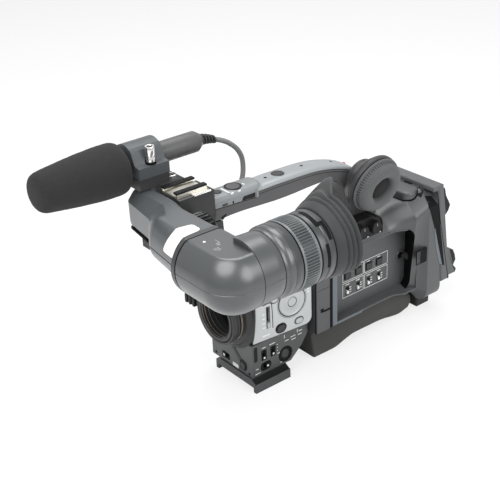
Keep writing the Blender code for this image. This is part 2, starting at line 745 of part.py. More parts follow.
def case_section(side, y, lean, inset):
    """One loop of a casing half; inset moves it inside the wall, past the split towards the other half."""
    sign = 1 if side == "left" else -1
    spread = flare_at(y, FOOT_FLARE_START, FOOT_FLARE_END)
    upper = left_side(y) if side == "left" else CASE_RIGHT
    lower = CASE_LEFT + (CASE_FLARE - CASE_LEFT) * spread if side == "left" else CASE_RIGHT
    upper -= sign * inset
    lower -= sign * inset
    edge = CASE_EDGE + (FLARE_EDGE - CASE_EDGE) * spread if side == "left" else CASE_EDGE
    edge -= inset / 2
    rise = FLARE_RISE * min(max((y - FLARE_START) / (FOOT_FLARE_END - FLARE_START), 0), 1)
    low = CASE_BOTTOM + inset
    heel = low - HEEL_DROP * spread if side == "left" else low
    top = CASE_TOP + rise - inset
    shoulder = CASE_SHOULDER + rise
    ridge = upper - sign * CASE_SLOPE
    middle = CASE_SPLIT + sign * (FIT / 2 if inset == 0 else -PASS)
    loop = [(middle, low)]
    if side == "left":
        loop.append((HEEL_INNER + inset * spread, low))
    for across, up in arc((0, 0), edge, -90, 0, 4):
        loop.append((lower + sign * (across - edge), heel + edge + up))
    loop += [(upper, shoulder), (ridge, top), (middle, top)]
    return [(x, y + lean * (CASE_TOP + FLARE_RISE - z), z) for x, z in loop]


def case_stations():
    """Places along the casing between its front and rear ends where its section is drawn."""
    sweep = [FLARE_START + (FLARE_END - FLARE_START) * step / 4 for step in range(5)]
    foot = [FOOT_FLARE_START + (FOOT_FLARE_END - FOOT_FLARE_START) * step / 2 for step in (1, 2)]
    return sweep + foot


def build_casing(side):
    outer = [case_section(side, y, 0, 0) for y in [CASE_FRONT] + case_stations()]
    outer.append(case_section(side, REAR_Y, REAR_LEAN, 0))
    casing = link("casing_" + side, loft(outer))
    inner = [case_section(side, y, 0, WALL) for y in [CASE_FRONT + WALL] + case_stations()]
    inner.append(case_section(side, REAR_Y - WALL, REAR_LEAN, WALL))
    cut(casing, loft(inner))
    if side == "left":
        low = (BAY_FLOOR_X - BAY_FLOOR_THICK - FIT, BAY_FRONT, BAY_BOTTOM)
        cut(casing, box(low, (CASE_FLARE + PASS, BAY_REAR, BAY_TOP)))
        low = (POD_FACE - POD_DEPTH, POD_FRONT, BAY_TOP + WALL / 2)
        join(casing, box(low, (POD_FACE, POD_REAR, POD_TOP)))
    finish(casing, BODY_GREY, 0.5)


def key_places():
    return [KEY_FIRST_Y + index * KEY_PITCH for index in range(KEY_COUNT)]


def build_screen_bay():
    back = BAY_FLOOR_X - BAY_FLOOR_THICK
    low = (back, BAY_FRONT + FIT, BAY_BOTTOM + FIT)
    end = BAY_REAR - FIT - BAY_WALL
    share = (BAY_END_X + RUN - CASE_LEFT) / (CASE_FLARE - CASE_LEFT)
    bend = FLARE_START + (FLARE_END - FLARE_START) * math.sqrt(share)
    rim = [(BAY_RIM_X, low[1])]
    for step in range(5):
        y = FLARE_START + (bend - FLARE_START) * step / 4
        rim.append((left_side(y) - CASE_LEFT + BAY_RIM_X, y))
    rear = BAY_REAR - FIT
    outline = [(back, low[1])] + rim + [(BAY_END_X, rear), (back, rear)]
    tray = link("screen_bay", prism(outline, "Z", low[2], BAY_TOP - FIT))
    inside = (BAY_FLOOR_X, low[1] + BAY_WALL, low[2] + BAY_WALL)
    cut(tray, box(inside, (BAY_END_X + PASS, end, BAY_TOP - FIT - BAY_WALL)))
    for y in key_places():
        half = (KEY_LENGTH / 2 + RUN, KEY_HEIGHT / 2 + RUN)
        low = (back - PASS, y - half[0], KEY_Z - half[1])
        cut(tray, box(low, (BAY_FLOOR_X + PASS, y + half[0], KEY_Z + half[1])))
        half = (BAY_SLOT_WIDTH / 2, BAY_SLOT_HEIGHT / 2)
        low = (back - PASS, y - half[0], BAY_SWITCH_Z - half[1])
        cut(tray, box(low, (BAY_FLOOR_X + PASS, y + half[0], BAY_SWITCH_Z + half[1])))
    finish(tray, BODY_GREY, 0.5)


def build_bay_controls():
    back = BAY_FLOOR_X - BAY_FLOOR_THICK - FIT
    places = key_places()
    reach = KEY_LENGTH / 2 + MAT_MARGIN
    low = (back - MAT_THICK, places[0] - reach, KEY_Z - KEY_HEIGHT / 2 - MAT_MARGIN)
    high = (back, places[-1] + reach, KEY_Z + KEY_HEIGHT / 2 + MAT_MARGIN)
    mat = link("bay_keypad", box(low, high), (back, places[0], KEY_Z))
    for y in places:
        half = (KEY_LENGTH / 2, KEY_HEIGHT / 2)
        low = (back - MAT_THICK / 2, y - half[0], KEY_Z - half[1])
        join(mat, box(low, (BAY_FLOOR_X + KEY_PROUD, y + half[0], KEY_Z + half[1])))
    finish(mat, DARK_GREY, 0.5)
    for index, y in enumerate(places):
        half = BAY_KNOB_WIDTH / 2
        bottom = BAY_SWITCH_Z - BAY_SLOT_HEIGHT / 2 + RUN
        low = (back, y - half, bottom)
        high = (BAY_FLOOR_X + KNOB_PROUD, y + half, bottom + BAY_KNOB_HEIGHT)
        knob = link("bay_switch_%d" % (index + 1), box(low, high), (back, y, bottom))
        finish(knob, KNOB_WHITE, 0.45)


def build_audio_knobs():
    middle = (POD_FRONT + POD_REAR) / 2
    for index, side in enumerate((-1, 1)):
        centre = (middle + side * AUDIO_KNOB_PITCH / 2, AUDIO_KNOB_Z)
        back = POD_FACE + FIT
        front = back + AUDIO_KNOB_LENGTH
        profile = [(0, back), (AUDIO_KNOB_RADIUS, back), (AUDIO_KNOB_RADIUS, front - 0.0008)]
        profile += [(AUDIO_KNOB_RADIUS - 0.0008, front), (0, front)]
        bm = turned(profile, "X", centre, AUDIO_KNOB_RIBS * 2, 0.0005, (1, 2))
        finish(link("audio_knob_%d" % (index + 1), bm, (back, *centre)), DARK_GREY, 0.5)


def build_circuit_board():
    low = (CASE_SPLIT - BOARD_THICK / 2, BOARD_FRONT, CASE_BOTTOM + WALL + FIT)
    high = (CASE_SPLIT + BOARD_THICK / 2, BOARD_REAR, CASE_TOP - WALL - FIT)
    finish(link("circuit_board", box(low, high)), (0.02, 0.12, 0.06), 0.5)


def build_shoulder_pad():
    top = CASE_BOTTOM - FIT
    length = PAD_REAR - PAD_FRONT
    front_toe = PAD_FRONT + length * 0.04
    sole = [(front_toe, 0.0006), (PAD_FRONT + length * 0.27, 0.0010), (PAD_FRONT + length * 0.42, PAD_ARCH)]
    sole += [(PAD_FRONT + length * 0.63, PAD_ARCH), (PAD_FRONT + length * 0.86, PAD_ARCH * 0.25)]
    sole += [(PAD_REAR - length * 0.03, PAD_ARCH)]
    outline = smooth(sole, 4) + [(PAD_REAR, top * 0.42), (PAD_REAR - length * 0.10, top), (PAD_FRONT, top)]
    pad = link("shoulder_pad", prism(outline, "X", PAD_RIGHT, PAD_LEFT))
    soften(pad, PAD_EDGE, 2)
    finish(pad, RUBBER, 0.8)


def build_rear_foot():
    low = (FOOT_RIGHT, FOOT_FRONT, 0)
    high = (FOOT_LEFT, FOOT_FRONT + FOOT_LENGTH, CASE_BOTTOM - FIT)
    foot = link("rear_foot", box(low, high))
    soften(foot, 0.0015)
    finish(foot, DARK_GREY, 0.55)


def rear_face(z):
    """Y of the leaning rear face of the casing at one height."""
    return REAR_Y + REAR_LEAN * (CASE_TOP + FLARE_RISE - z)


def plate_rear(z):
    """Y of the battery plate's rear face at one height: the plate thickens towards its foot."""
    share = (BATTERY_TOP - z) / (BATTERY_TOP - BATTERY_BOTTOM)
    return rear_face(z) + FIT + BATTERY_THICK + (BATTERY_FOOT_THICK - BATTERY_THICK) * share


def build_battery_plate():
    outline = [(rear_face(BATTERY_BOTTOM) + FIT, BATTERY_BOTTOM), (plate_rear(BATTERY_BOTTOM), BATTERY_BOTTOM)]
    outline += [(plate_rear(BATTERY_TOP), BATTERY_TOP), (rear_face(BATTERY_TOP) + FIT, BATTERY_TOP)]
    plate = link("battery_plate", prism(outline, "X", -BATTERY_HALF_WIDTH, BATTERY_HALF_WIDTH))
    soften(plate, 0.002)
    height = BATTERY_TOP - BATTERY_BOTTOM
    lower = ((0.03, 0.85), (0.06, 1), (0.115, 0.66), (0.16, 1), (0.22, 0.95), (0.28, 0.75), (0.30, 0.3))
    upper = ((0.68, 0.1), (0.715, 0.45), (0.76, 0.68), (0.81, 0.5), (0.87, 0.25), (0.94, 0.18), (0.96, 0.05))
    for steps in (lower, upper):
        hook = []
        for share, out in steps:
            z = BATTERY_BOTTOM + height * share
            hook.append((plate_rear(z) + RAIL_REACH * out, z))
        seat = BATTERY_THICK * 0.4
        for share, out in (steps[-1], steps[0]):
            z = BATTERY_BOTTOM + height * share
            hook.append((plate_rear(z) - seat, z))
        for side in (-1, 1):
            ends = sorted((side * RAIL_OUTER, side * (RAIL_OUTER - RAIL_WIDTH)))
            join(plate, prism(hook, "X", *ends))
    finish(plate, DARK_GREY, 0.5)


def grip_top():
    """Seam between the handle's grip and its top cover, front to rear."""
    points = [(y, HANDLE_SEAM_Z) for y in (HANDLE_FRONT, HUMP_END - HUMP_SLOPE, HUMP_END + HUMP_SLOPE, HANDLE_BEND_Y)]
    run = HANDLE_REAR - HANDLE_BEND_Y
    fall = HANDLE_SEAM_Z - HANDLE_TAIL_Z
    for along, down in ((0.285, 0.028), (0.459, 0.088), (0.635, 0.23), (0.798, 0.449), (0.913, 0.717), (1, 1)):
        points.append((HANDLE_BEND_Y + run * along, HANDLE_SEAM_Z - fall * down))
    return smooth(points, 2)


def build_handle_grip():
    foot = CASE_TOP + FIT
    run = HEEL_FRONT - HANDLE_FRONT
    height = HANDLE_UNDER_Z - foot
    under = []
    for along, up in ((0, 1.009), (0.175, 1.021), (0.474, 0.979), (0.711, 0.994), (0.815, 0.987), (0.907, 0.897),
                      (0.970, 0.709), (0.993, 0.427), (1, 0)):
        under.append((HANDLE_FRONT + run * along, foot + height * up))
    back = HEEL_REAR - HANDLE_REAR
    height = HANDLE_TAIL_Z - foot
    heel = [(HEEL_REAR, foot), (HEEL_REAR - back * 0.077, foot + height * 0.457)]
    heel += [(HEEL_REAR - back * 0.46, foot + height * 0.793)]
    outline = smooth(under, 2) + heel + grip_top()[::-1]
    grip = link("handle_grip", prism(outline, "X", -HANDLE_HALF_WIDTH, HANDLE_HALF_WIDTH))
    finish(grip, DARK_GREY, 0.5)


def cover_height(y):
    """How high the top cover stands over the seam: a hump over the front controls."""
    hump = 0.5 - 0.5 * math.tanh((y - HUMP_END) / HUMP_SLOPE)
    tail = min(max((HANDLE_REAR - y) / COVER_TAIL, 0), 1)
    return COVER_EDGE * tail + COVER_CROWN * hump * 0.75


def build_handle_cover():
    """Top cover of the handle, crowned across its width."""
    sections = []
    half = HANDLE_HALF_WIDTH
    for y, seam in grip_top()[:-1]:
        low = seam + FIT
        edge = low + COVER_EDGE * 0.7
        crown = low + cover_height(y) + COVER_EDGE * 0.5
        loop = [(-half, low), (half, low), (half, edge), (half * 0.75, crown), (-half * 0.75, crown), (-half, edge)]
        sections.append([(x, y, z) for x, z in loop])
    cover = link("handle_top_cover", loft(sections))
    for y, radius in handle_buttons().values():
        seat = button_seat(y)
        cut(cover, rod(radius + RUN, "Z", (0, y), seat, cover_crown(y) + PASS, 20))
    finish(cover, HANDLE_SILVER, 0.4, 0.2)


def handle_buttons():
    return {
        "handle_record_button": (RECORD_BUTTON_Y, RECORD_BUTTON_RADIUS),
        "handle_small_button": (SMALL_BUTTON_Y, SMALL_BUTTON_RADIUS),
        "handle_round_button": (ROUND_BUTTON_Y, ROUND_BUTTON_RADIUS),
    }


def cover_crown(y):
    return at(grip_top(), y) + FIT + cover_height(y) + COVER_EDGE * 0.5


def button_seat(y):
    """Floor of the pocket that a handle button travels in."""
    return cover_crown(y) - HANDLE_BUTTON_BACK


def build_handle_buttons():
    for name, (y, radius) in handle_buttons().items():
        low = button_seat(y) + 0.0010
        high = cover_crown(y) + 0.0006
        button = link(name, rod(radius, "Z", (0, y), low, high, 20), (0, y, low))
        finish(button, DARK_GREY, 0.4)


def build_handle_front_block():
    rear = HANDLE_FRONT - FIT
    foot = FRONT_TOP + FIT
    chin = SHOE_BLOCK_TOP - SHOE_BLOCK_CHIN
    outline = [(SHOE_BLOCK_FRONT, SHOE_BLOCK_TOP), (SHOE_BLOCK_FRONT, chin), (COLUMN_FOOT_FRONT, foot)]
    outline += [(COLUMN_FOOT_REAR, foot), (COLUMN_WAIST_Y, COLUMN_WAIST_Z), (COLUMN_NECK_Y, COLUMN_NECK_Z)]
    outline += [(rear, HANDLE_UNDER_Z), (rear, SHOE_BLOCK_TOP)]
    block = link("handle_front_block", prism(outline, "X", -COLUMN_HALF_WIDTH, COLUMN_HALF_WIDTH))
    half = SHOE_BLOCK_HALF_WIDTH
    join(block, box((-half, SHOE_BLOCK_FRONT, SHOE_BLOCK_TOP - SHOE_BLOCK_HEIGHT), (half, rear, SHOE_BLOCK_TOP)))
    front = SHOE_BLOCK_FRONT - RAIL_THICK
    join(block, box((RAIL_RIGHT, front, RAIL_BOTTOM), (RAIL_LEFT, SHOE_BLOCK_FRONT + RAIL_THICK, RAIL_TOP)))
    half = TONGUE_HEIGHT / 2
    low = (RAIL_RIGHT + RUN, front - TONGUE_DEPTH, VF_Z - half)
    join(block, box(low, (RAIL_LEFT - TONGUE_END_INSET, SHOE_BLOCK_FRONT, VF_Z + half)))
    finish(block, DARK_GREY, 0.5)


def build_accessory_shoe():
    half = SHOE_SLOT_WIDTH / 2
    outer = half + SHOE_WALL
    middle = outer - SHOE_BLOCK_HALF_WIDTH
    lip = SHOE_LIP_GAP / 2
    floor = SHOE_TOP + SHOE_BASE
    under = floor + SHOE_SLOT_HEIGHT
    top = under + SHOE_LIP
    outline = [(-outer, SHOE_TOP), (outer, SHOE_TOP), (outer, top), (lip, top), (lip, under), (half, under)]
    outline += [(half, floor), (-half, floor), (-half, under), (-lip, under), (-lip, top), (-outer, top)]
    outline = [(middle + x, z) for x, z in outline]
    front = SHOE_BLOCK_FRONT
    shoe = link("accessory_shoe", prism(outline, "Y", front, front + SHOE_LENGTH))
    finish(shoe, STEEL, 0.3, 0.9)


def about_mic(points):
    return [(MIC_X + x, MIC_Z + z) for x, z in points]


def build_mic_holder():
    bore = MIC_RADIUS + FIT
    flange_low = -FLANGE_LOW - FIT
    side = bore + 0.0002
    cradle = arc((0, 0), bore, 180, 335, 12)
    outline = [(-CLAMP_OUTER, -FIT)] + cradle + [(side, cradle[-1][1]), (side, flange_low)]
    outline += [(FLANGE_REACH - 0.0015, flange_low), (FLANGE_REACH - 0.0015, -HOLDER_DEPTH)]
    outline += [(-CLAMP_OUTER, -HOLDER_DEPTH)]
    holder = link("mic_holder", prism(about_mic(outline), "Y", CLAMP_FRONT, CLAMP_REAR))
    high = (-SHOE_BLOCK_HALF_WIDTH - FIT, PEDESTAL_REAR, MIC_Z - HOLDER_DEPTH + 0.001)
    join(holder, box((PEDESTAL_RIGHT, SHOE_BLOCK_FRONT, PEDESTAL_BOTTOM), high))
    finish(holder, DARK_GREY, 0.5)


def build_mic_clamp():
    bore = MIC_RADIUS + FIT
    inner = bore + 0.0002 + FIT
    crown = arc((0, 0), CLAMP_OUTER, 160, 50, 10)
    outline = [(-CLAMP_OUTER, 0)] + crown + [(CLAMP_OUTER * 0.82, 0.0048), (FLANGE_REACH - 0.006, 0.0016)]
    outline += [(FLANGE_REACH, FLANGE_HIGH), (FLANGE_REACH, -FLANGE_LOW), (inner, -FLANGE_LOW), (inner, 0)]
    outline += arc((0, 0), bore, 0, 180, 14)
    hinge = (MIC_X - CLAMP_OUTER, CLAMP_FRONT, MIC_Z)
    cap = link("mic_clamp_cap", prism(about_mic(outline), "Y", CLAMP_FRONT, CLAMP_REAR), hinge)
    centre = screw_centre()
    seat = MIC_Z - FLANGE_LOW * 0.5
    cut(cap, rod(SCREW_RADIUS + RUN, "Z", centre, seat, MIC_Z + CLAMP_OUTER + PASS, 20))
    finish(cap, SATIN_GREY, 0.45)
    low = seat + FIT
    neck = MIC_Z + 0.0055
    high = neck + SCREW_HEIGHT * 0.55
    profile = [(0, low), (SCREW_RADIUS, low), (SCREW_RADIUS, neck), (SCREW_RADIUS * 0.85, neck)]
    profile += [(SCREW_RADIUS * 0.85, neck + 0.0006), (SCREW_RADIUS, neck + 0.0006), (SCREW_RADIUS, high)]
    profile += [(SCREW_RADIUS * 0.62, high), (SCREW_RADIUS * 0.62, high - 0.003), (0, high - 0.003)]
    screw = turned(profile, "Z", centre, SCREW_RIBS * 2)
    finish(link("clamp_thumbscrew", screw, (*centre, low)), STEEL, 0.25, 1.0)


def screw_centre():
    return (MIC_X + FLANGE_REACH - SCREW_INSET, (CLAMP_FRONT + CLAMP_REAR) / 2)


def build_microphone():
    centre = (MIC_X, MIC_Z)
    nose = 0.006
    profile = [(0, MIC_FRONT), (MIC_RADIUS * 0.8, MIC_FRONT), (MIC_RADIUS, MIC_FRONT + nose)]
    profile += [(MIC_RADIUS, MIC_REAR - 0.0035), (BOOT_RADIUS, MIC_REAR), (0, MIC_REAR)]
    finish(link("microphone", turned(profile, "Y", centre, 28)), (0.105, 0.105, 0.107), 0.45)
    bore = MIC_RADIUS + FIT
    length = FOAM_REAR - FOAM_FRONT
    floor = MIC_FRONT - FIT
    tip = FOAM_TIP_RADIUS
    profile = [(0, FOAM_FRONT), (tip * 0.55, FOAM_FRONT + 0.0012), (tip * 0.86, FOAM_FRONT + 0.0045)]
    profile += [(tip, FOAM_FRONT + 0.0100), (tip * 0.5 + FOAM_RADIUS * 0.5, FOAM_FRONT + length * 0.45)]
    profile += [(FOAM_RADIUS * 0.985, FOAM_FRONT + length * 0.75), (FOAM_RADIUS, FOAM_REAR - 0.009)]
    profile += [(FOAM_RADIUS * 0.93, FOAM_REAR - 0.0025), (FOAM_RADIUS * 0.8, FOAM_REAR), (0, FOAM_REAR)]
    foam = link("windscreen", turned(profile, "Y", (MIC_X, MIC_Z - FOAM_DROP), 32))
    cut(foam, rod(bore, "Y", centre, floor, FOAM_REAR + PASS, 28))
    finish(foam, FOAM, 1.0)
    start = MIC_REAR + FIT
    tail = CORD_RADIUS * 1.5
    profile = [(0, start)]
    for index in range(4):
        low = start + BOOT_LENGTH * index / 4
        wide = BOOT_RADIUS + (tail - BOOT_RADIUS) * index / 4
        profile += [(wide, low), (wide, low + BOOT_LENGTH * 0.15), (wide * 0.85, low + BOOT_LENGTH * 0.16)]
        profile += [(wide * 0.85, low + BOOT_LENGTH * 0.24)]
    profile += [(tail, start + BOOT_LENGTH), (0, start + BOOT_LENGTH)]
    finish(link("mic_boot", turned(profile, "Y", centre, 16)), DARK_GREY, 0.6)


def build_audio_input():
    low = (INPUT_RIGHT, SHOE_BLOCK_FRONT, INPUT_BOTTOM)
    high = (-COLUMN_HALF_WIDTH - FIT, INPUT_REAR, INPUT_TOP)
    finish(link("audio_input_box", box(low, high)), DARK_GREY, 0.5)
    centre = (PLUG_X, PLUG_Z)
    front = INPUT_REAR + FIT
    rear = front + PLUG_LENGTH
    profile = [(0, front), (PLUG_RADIUS, front), (PLUG_RADIUS, rear - 0.006), (PLUG_RADIUS * 0.75, rear)]
    profile += [(CORD_RADIUS * 1.8, rear), (CORD_RADIUS * 1.4, rear + PLUG_TAIL), (0, rear + PLUG_TAIL)]
    finish(link("audio_plug", turned(profile, "Y", centre, 24)), STEEL, 0.35, 0.8)


def build_mic_cord():
    start = MIC_REAR + FIT + BOOT_LENGTH + FIT
    end = INPUT_REAR + FIT + PLUG_LENGTH + PLUG_TAIL + FIT
    route = [(MIC_X, start, MIC_Z), (-0.036, -0.0060, 0.2284), (-0.036, 0.0062, 0.2226)]
    route += [(-0.036, 0.0155, 0.2146), (-0.036, 0.0208, 0.2045), (-0.036, 0.0226, 0.1938)]
    route += [(-0.0355, 0.0210, 0.1832), (-0.0345, 0.0156, 0.1736), (-0.0333, 0.0074, 0.1662)]
    route += [(-0.0327, -0.0020, 0.1624), (PLUG_X, end, PLUG_Z)]
    points = smooth(route, CORD_STEPS)
    curve = bpy.data.curves.new("mic_cord", "CURVE")
    curve.dimensions = "3D"
    curve.bevel_depth = CORD_RADIUS
    curve.bevel_resolution = 2
    curve.use_fill_caps = True
    spline = curve.splines.new("POLY")
    kept = points[::2] if len(points) % 2 else points[:-1:2] + [points[-1]]
    spline.points.add(len(kept) - 1)
    for point, (x, y, z) in zip(spline.points, kept):
        point.co = (x, y, z, 1)
    cord = bpy.data.objects.new("mic_cord", curve)
    bpy.context.collection.objects.link(cord)
    material = bpy.data.materials.new("mic_cord")
    material.use_nodes = True
    material.node_tree.nodes["Principled BSDF"].inputs["Base Color"].default_value = (*CORD_GREY, 1)
    material.node_tree.nodes["Principled BSDF"].inputs["Roughness"].default_value = 0.5
    curve.materials.append(material)


def leaned(bm):
    """Turns a solid of the ear speaker down towards the ear, about its seat on the handle."""
    seat = Matrix.Translation((HANDLE_HALF_WIDTH + FIT, SPEAKER_Y, SPEAKER_Z))
    bm.transform(seat @ Matrix.Rotation(SPEAKER_TILT, 4, "Y") @ seat.inverted())
    return bm


def build_speaker():
    """The ear speaker leans down towards the ear; its cup is cut flat where it meets the handle."""
    centre = (SPEAKER_Y, SPEAKER_Z)
    back = HANDLE_HALF_WIDTH + FIT
    front = back + SPEAKER_LENGTH
    neck = SPEAKER_RADIUS * 0.64
    profile = [(0, back - SPEAKER_STUB), (neck, back - SPEAKER_STUB), (neck, back)]
    profile.append((SPEAKER_RADIUS * 0.78, back + SPEAKER_LENGTH * 0.20))
    profile += [(SPEAKER_RADIUS * 0.92, back + SPEAKER_LENGTH * 0.48), (SPEAKER_RADIUS, back + SPEAKER_LENGTH * 0.75)]
    profile += [(SPEAKER_RADIUS, front - 0.002), (SPEAKER_RADIUS * 0.95, front), (0, front)]
    housing = link("speaker_housing", leaned(turned(profile, "X", centre, 36)))
    reach = SPEAKER_RADIUS + SPEAKER_STUB
    low = (back - SPEAKER_RADIUS, SPEAKER_Y - reach, SPEAKER_Z - reach)
    cut(housing, box(low, (back, SPEAKER_Y + reach, SPEAKER_Z + reach)))
    finish(housing, DARK_GREY, 0.5)
    back = front + FIT
    middle = (EAR_RADIUS + EAR_HOLE) / 2
    half = (EAR_RADIUS - EAR_HOLE) / 2
    profile = [(EAR_HOLE, back), (EAR_RADIUS, back)]
    for step in range(7):
        angle = math.pi * step / 6
        profile.append((middle + half * math.cos(angle), back + EAR_THICK * (0.45 + 0.55 * math.sin(angle))))
    finish(link("ear_pad", leaned(turned(profile, "X", centre, 36))), RUBBER, 0.75)


def arm_loop(x, front, rear, height, depth, front_power, rear_power, points=28):
    """One section of the viewfinder arm, flat on top; height and depth are taken from its axis."""
    loop = []
    for index in range(points):
        angle = 2 * math.pi * (index + 0.5) / points
        across = math.cos(angle)
        up = math.sin(angle)
        power = rear_power if across > 0 else front_power
        reach = rear if across > 0 else front
        y = VF_ARM_Y + reach * math.copysign(abs(across) ** (2 / power), across)
        z = VF_Z + (height if up > 0 else depth) * math.copysign(abs(up) ** (2 / power), up)
        loop.append((x, y, min(z, VF_TOP)))
    return loop


def arm_body(x):
    """One section of the arm between its nose and its rim: it widens towards the rim."""
    share = min(max((x - NOSE_SWEEP_END) / (ARM_RIM_START - NOSE_SWEEP_END), 0), 1)
    reach = ARM_SLIM_REACH + (ARM_FULL_REACH - ARM_SLIM_REACH) * share
    return arm_loop(x, reach, ARM_REAR - VF_ARM_Y, ARM_RISE, reach, 2.0, 3.0)


def nose_loop(x, shrink, points=28):
    """One section of the arm's slim nose: a rounded block whose front upper corner slopes."""
    front = NOSE_FRONT - (x - ARM_RIGHT) * NOSE_SLANT
    middle = (front + ARM_REAR) / 2
    centre = (NOSE_BOTTOM + VF_TOP) / 2
    slope = (VF_TOP - NOSE_EDGE_Z) / (ARM_REAR - NOSE_FLAT_DEPTH - front)
    loop = []
    for index in range(points):
        angle = 2 * math.pi * (index + 0.5) / points
        across = math.copysign(abs(math.cos(angle)) ** (1 / 3), math.cos(angle))
        up = math.copysign(abs(math.sin(angle)) ** (1 / 3), math.sin(angle))
        y = middle + (ARM_REAR - middle) * across * shrink
        z = centre + (VF_TOP - centre) * up * shrink
        drop = max(ARM_REAR - NOSE_FLAT_DEPTH - y, 0) * slope
        loop.append((x, y, min(z, VF_TOP - drop)))
    return loop


def arm_sections():
    """Loops of the arm from its right end to the seam: slim nose, sweep, widening body, round rim."""
    sections = [nose_loop(ARM_RIGHT, 0.86), nose_loop(ARM_RIGHT + 0.003, 1), nose_loop(NOSE_LEFT, 1)]
    for step in range(1, 5):
        part = step / 4
        x = NOSE_LEFT + (NOSE_SWEEP_END - NOSE_LEFT) * part
        share = part * part * (3 - 2 * part)
        pairs = zip(nose_loop(x, 1), arm_body(x))
        sections.append([tuple(Vector(a).lerp(Vector(b), share)) for a, b in pairs])
    sections += [arm_body(x) for x in (0.046, 0.060, ARM_RIM_START)]
    for x in (ARM_RIM_START + FIT, SEAM_X - FIT):
        sections.append(arm_loop(x, VF_RADIUS, VF_RADIUS, VF_RADIUS, VF_RADIUS, 2.0, 2.0))
    return sections


def build_viewfinder_arm():
    origin = (RAIL_RIGHT, ARM_REAR, VF_Z)
    arm = link("viewfinder_arm", loft(arm_sections()), origin)
    cut(arm, rod(ARM_BORE, "X", (VF_ARM_Y, VF_Z), ARM_BORE_END, SEAM_X + PASS, 24))
    half = TONGUE_HEIGHT / 2 + RUN
    depth = SHOE_BLOCK_FRONT - RAIL_THICK - TONGUE_DEPTH - RUN
    low = (ARM_RIGHT - PASS, depth, VF_Z - half)
    cut(arm, box(low, (RAIL_LEFT + FIT, ARM_REAR + 0.02, VF_Z + half)))
    finish(arm, BODY_GREY, 0.45)
    patch = []
    for lift in (FIT, FIT + TALLY_THICK):
        for x in (TALLY_LOW, TALLY_HIGH):
            loop = arm_between(x, lift)
            patch.append([loop[index] for index in range(7, 13)])
    inner_low, inner_high, outer_low, outer_high = patch
    rows = [inner_low + outer_low[::-1], inner_high + outer_high[::-1]]
    window = link("tally_window", loft(rows), origin)
    finish(window, (0.80, 0.78, 0.70), 0.35)


def arm_between(x, lift):
    """The arm's surface loop at one place, lifted outwards."""
    sections = arm_sections()
    for first, last in zip(sections, sections[1:]):
        if first[0][0] <= x <= last[0][0]:
            part = (x - first[0][0]) / (last[0][0] - first[0][0])
            loop = []
            for a, b in zip(first, last):
                point = Vector(a).lerp(Vector(b), part)
                out = Vector((0, point.y - VF_ARM_Y, point.z - VF_Z)).normalized()
                if point.z >= VF_TOP - 0.00001:
                    out = Vector((0, 0, 1))
                loop.append(tuple(point + out * lift))
            return loop
    raise ValueError("the place lies off the arm")


def build_lock_wheel():
    front = SHOE_BLOCK_FRONT + RAIL_THICK + FIT
    rear = front + WHEEL_LENGTH
    profile = [(0, front), (WHEEL_RADIUS, front), (WHEEL_RADIUS, rear - WHEEL_LENGTH * 0.4)]
    profile += [(WHEEL_RADIUS * 0.92, rear - WHEEL_LENGTH * 0.14), (WHEEL_RADIUS * 0.72, rear), (0, rear)]
    wheel = turned(profile, "Y", (WHEEL_X, WHEEL_Z), WHEEL_RIBS * 2, 0.0008, (1, 2))
    finish(link("viewfinder_lock_wheel", wheel, (WHEEL_X, front, WHEEL_Z)), DARK_GREY, 0.55)


def elbow_solid(radius, start, end):
    """A round tube along the arm, round its outer corner, mitred on the inside, then along the barrel."""
    points = 36
    corner = Vector((TUBE_X, VF_ARM_Y, VF_Z))
    turns = [None] + [90 * step / 8 for step in range(9)] + [None]
    bm = bmesh.new()
    loops = []
    for index, turn in enumerate(turns):
        loop = []
        for point in range(points):
            angle = 2 * math.pi * point / points
            out = radius * math.cos(angle)
            up = radius * math.sin(angle)
            if index == 0:
                place_at = Vector((start, VF_ARM_Y - out, VF_Z + up))
            elif index == len(turns) - 1:
                place_at = Vector((TUBE_X + out, end, VF_Z + up))
            elif out > 0.00001:
                bend = math.radians(turn)
                place_at = corner + Vector((out * math.sin(bend), -out * math.cos(bend), up))
            else:
                place_at = corner + Vector((out, -out, up))
            loop.append(bm.verts.new(place_at))
        loops.append(loop)
    for low, high in zip(loops, loops[1:]):
        for point in range(points):
            after = (point + 1) % points
            bm.faces.new((low[point], low[after], high[after], high[point]))
    bm.faces.new(loops[0])
    bm.faces.new(loops[-1])
    bmesh.ops.remove_doubles(bm, verts=bm.verts, dist=0.000005)
    bmesh.ops.dissolve_degenerate(bm, edges=bm.edges, dist=0.000001)
    return bm


def build_viewfinder_elbow():
    axis = (SEAM_X, VF_ARM_Y, VF_Z)
    seam = TUBE_SEAM_Y - FIT
    elbow = link("viewfinder_elbow", elbow_solid(VF_RADIUS, SEAM_X, seam), axis)
    reach = 2 * VF_RADIUS
    low = (SEAM_X - PASS, VF_ARM_Y - reach, VF_TOP)
    cut(elbow, box(low, (TUBE_X + reach, FLAT_END_Y, VF_TOP + reach)))
    chord = math.sqrt(VF_RADIUS ** 2 - (VF_TOP - VF_Z) ** 2)
    low = (SEAM_X - PASS, FLAT_END_Y - PASS, VF_TOP)
    cut(elbow, box(low, (TUBE_X - chord, seam + PASS, VF_TOP + reach)))
    cut(elbow, elbow_solid(VF_BORE, SEAM_X - PASS, seam + PASS))
    finish(elbow, SATIN_GREY, 0.35)


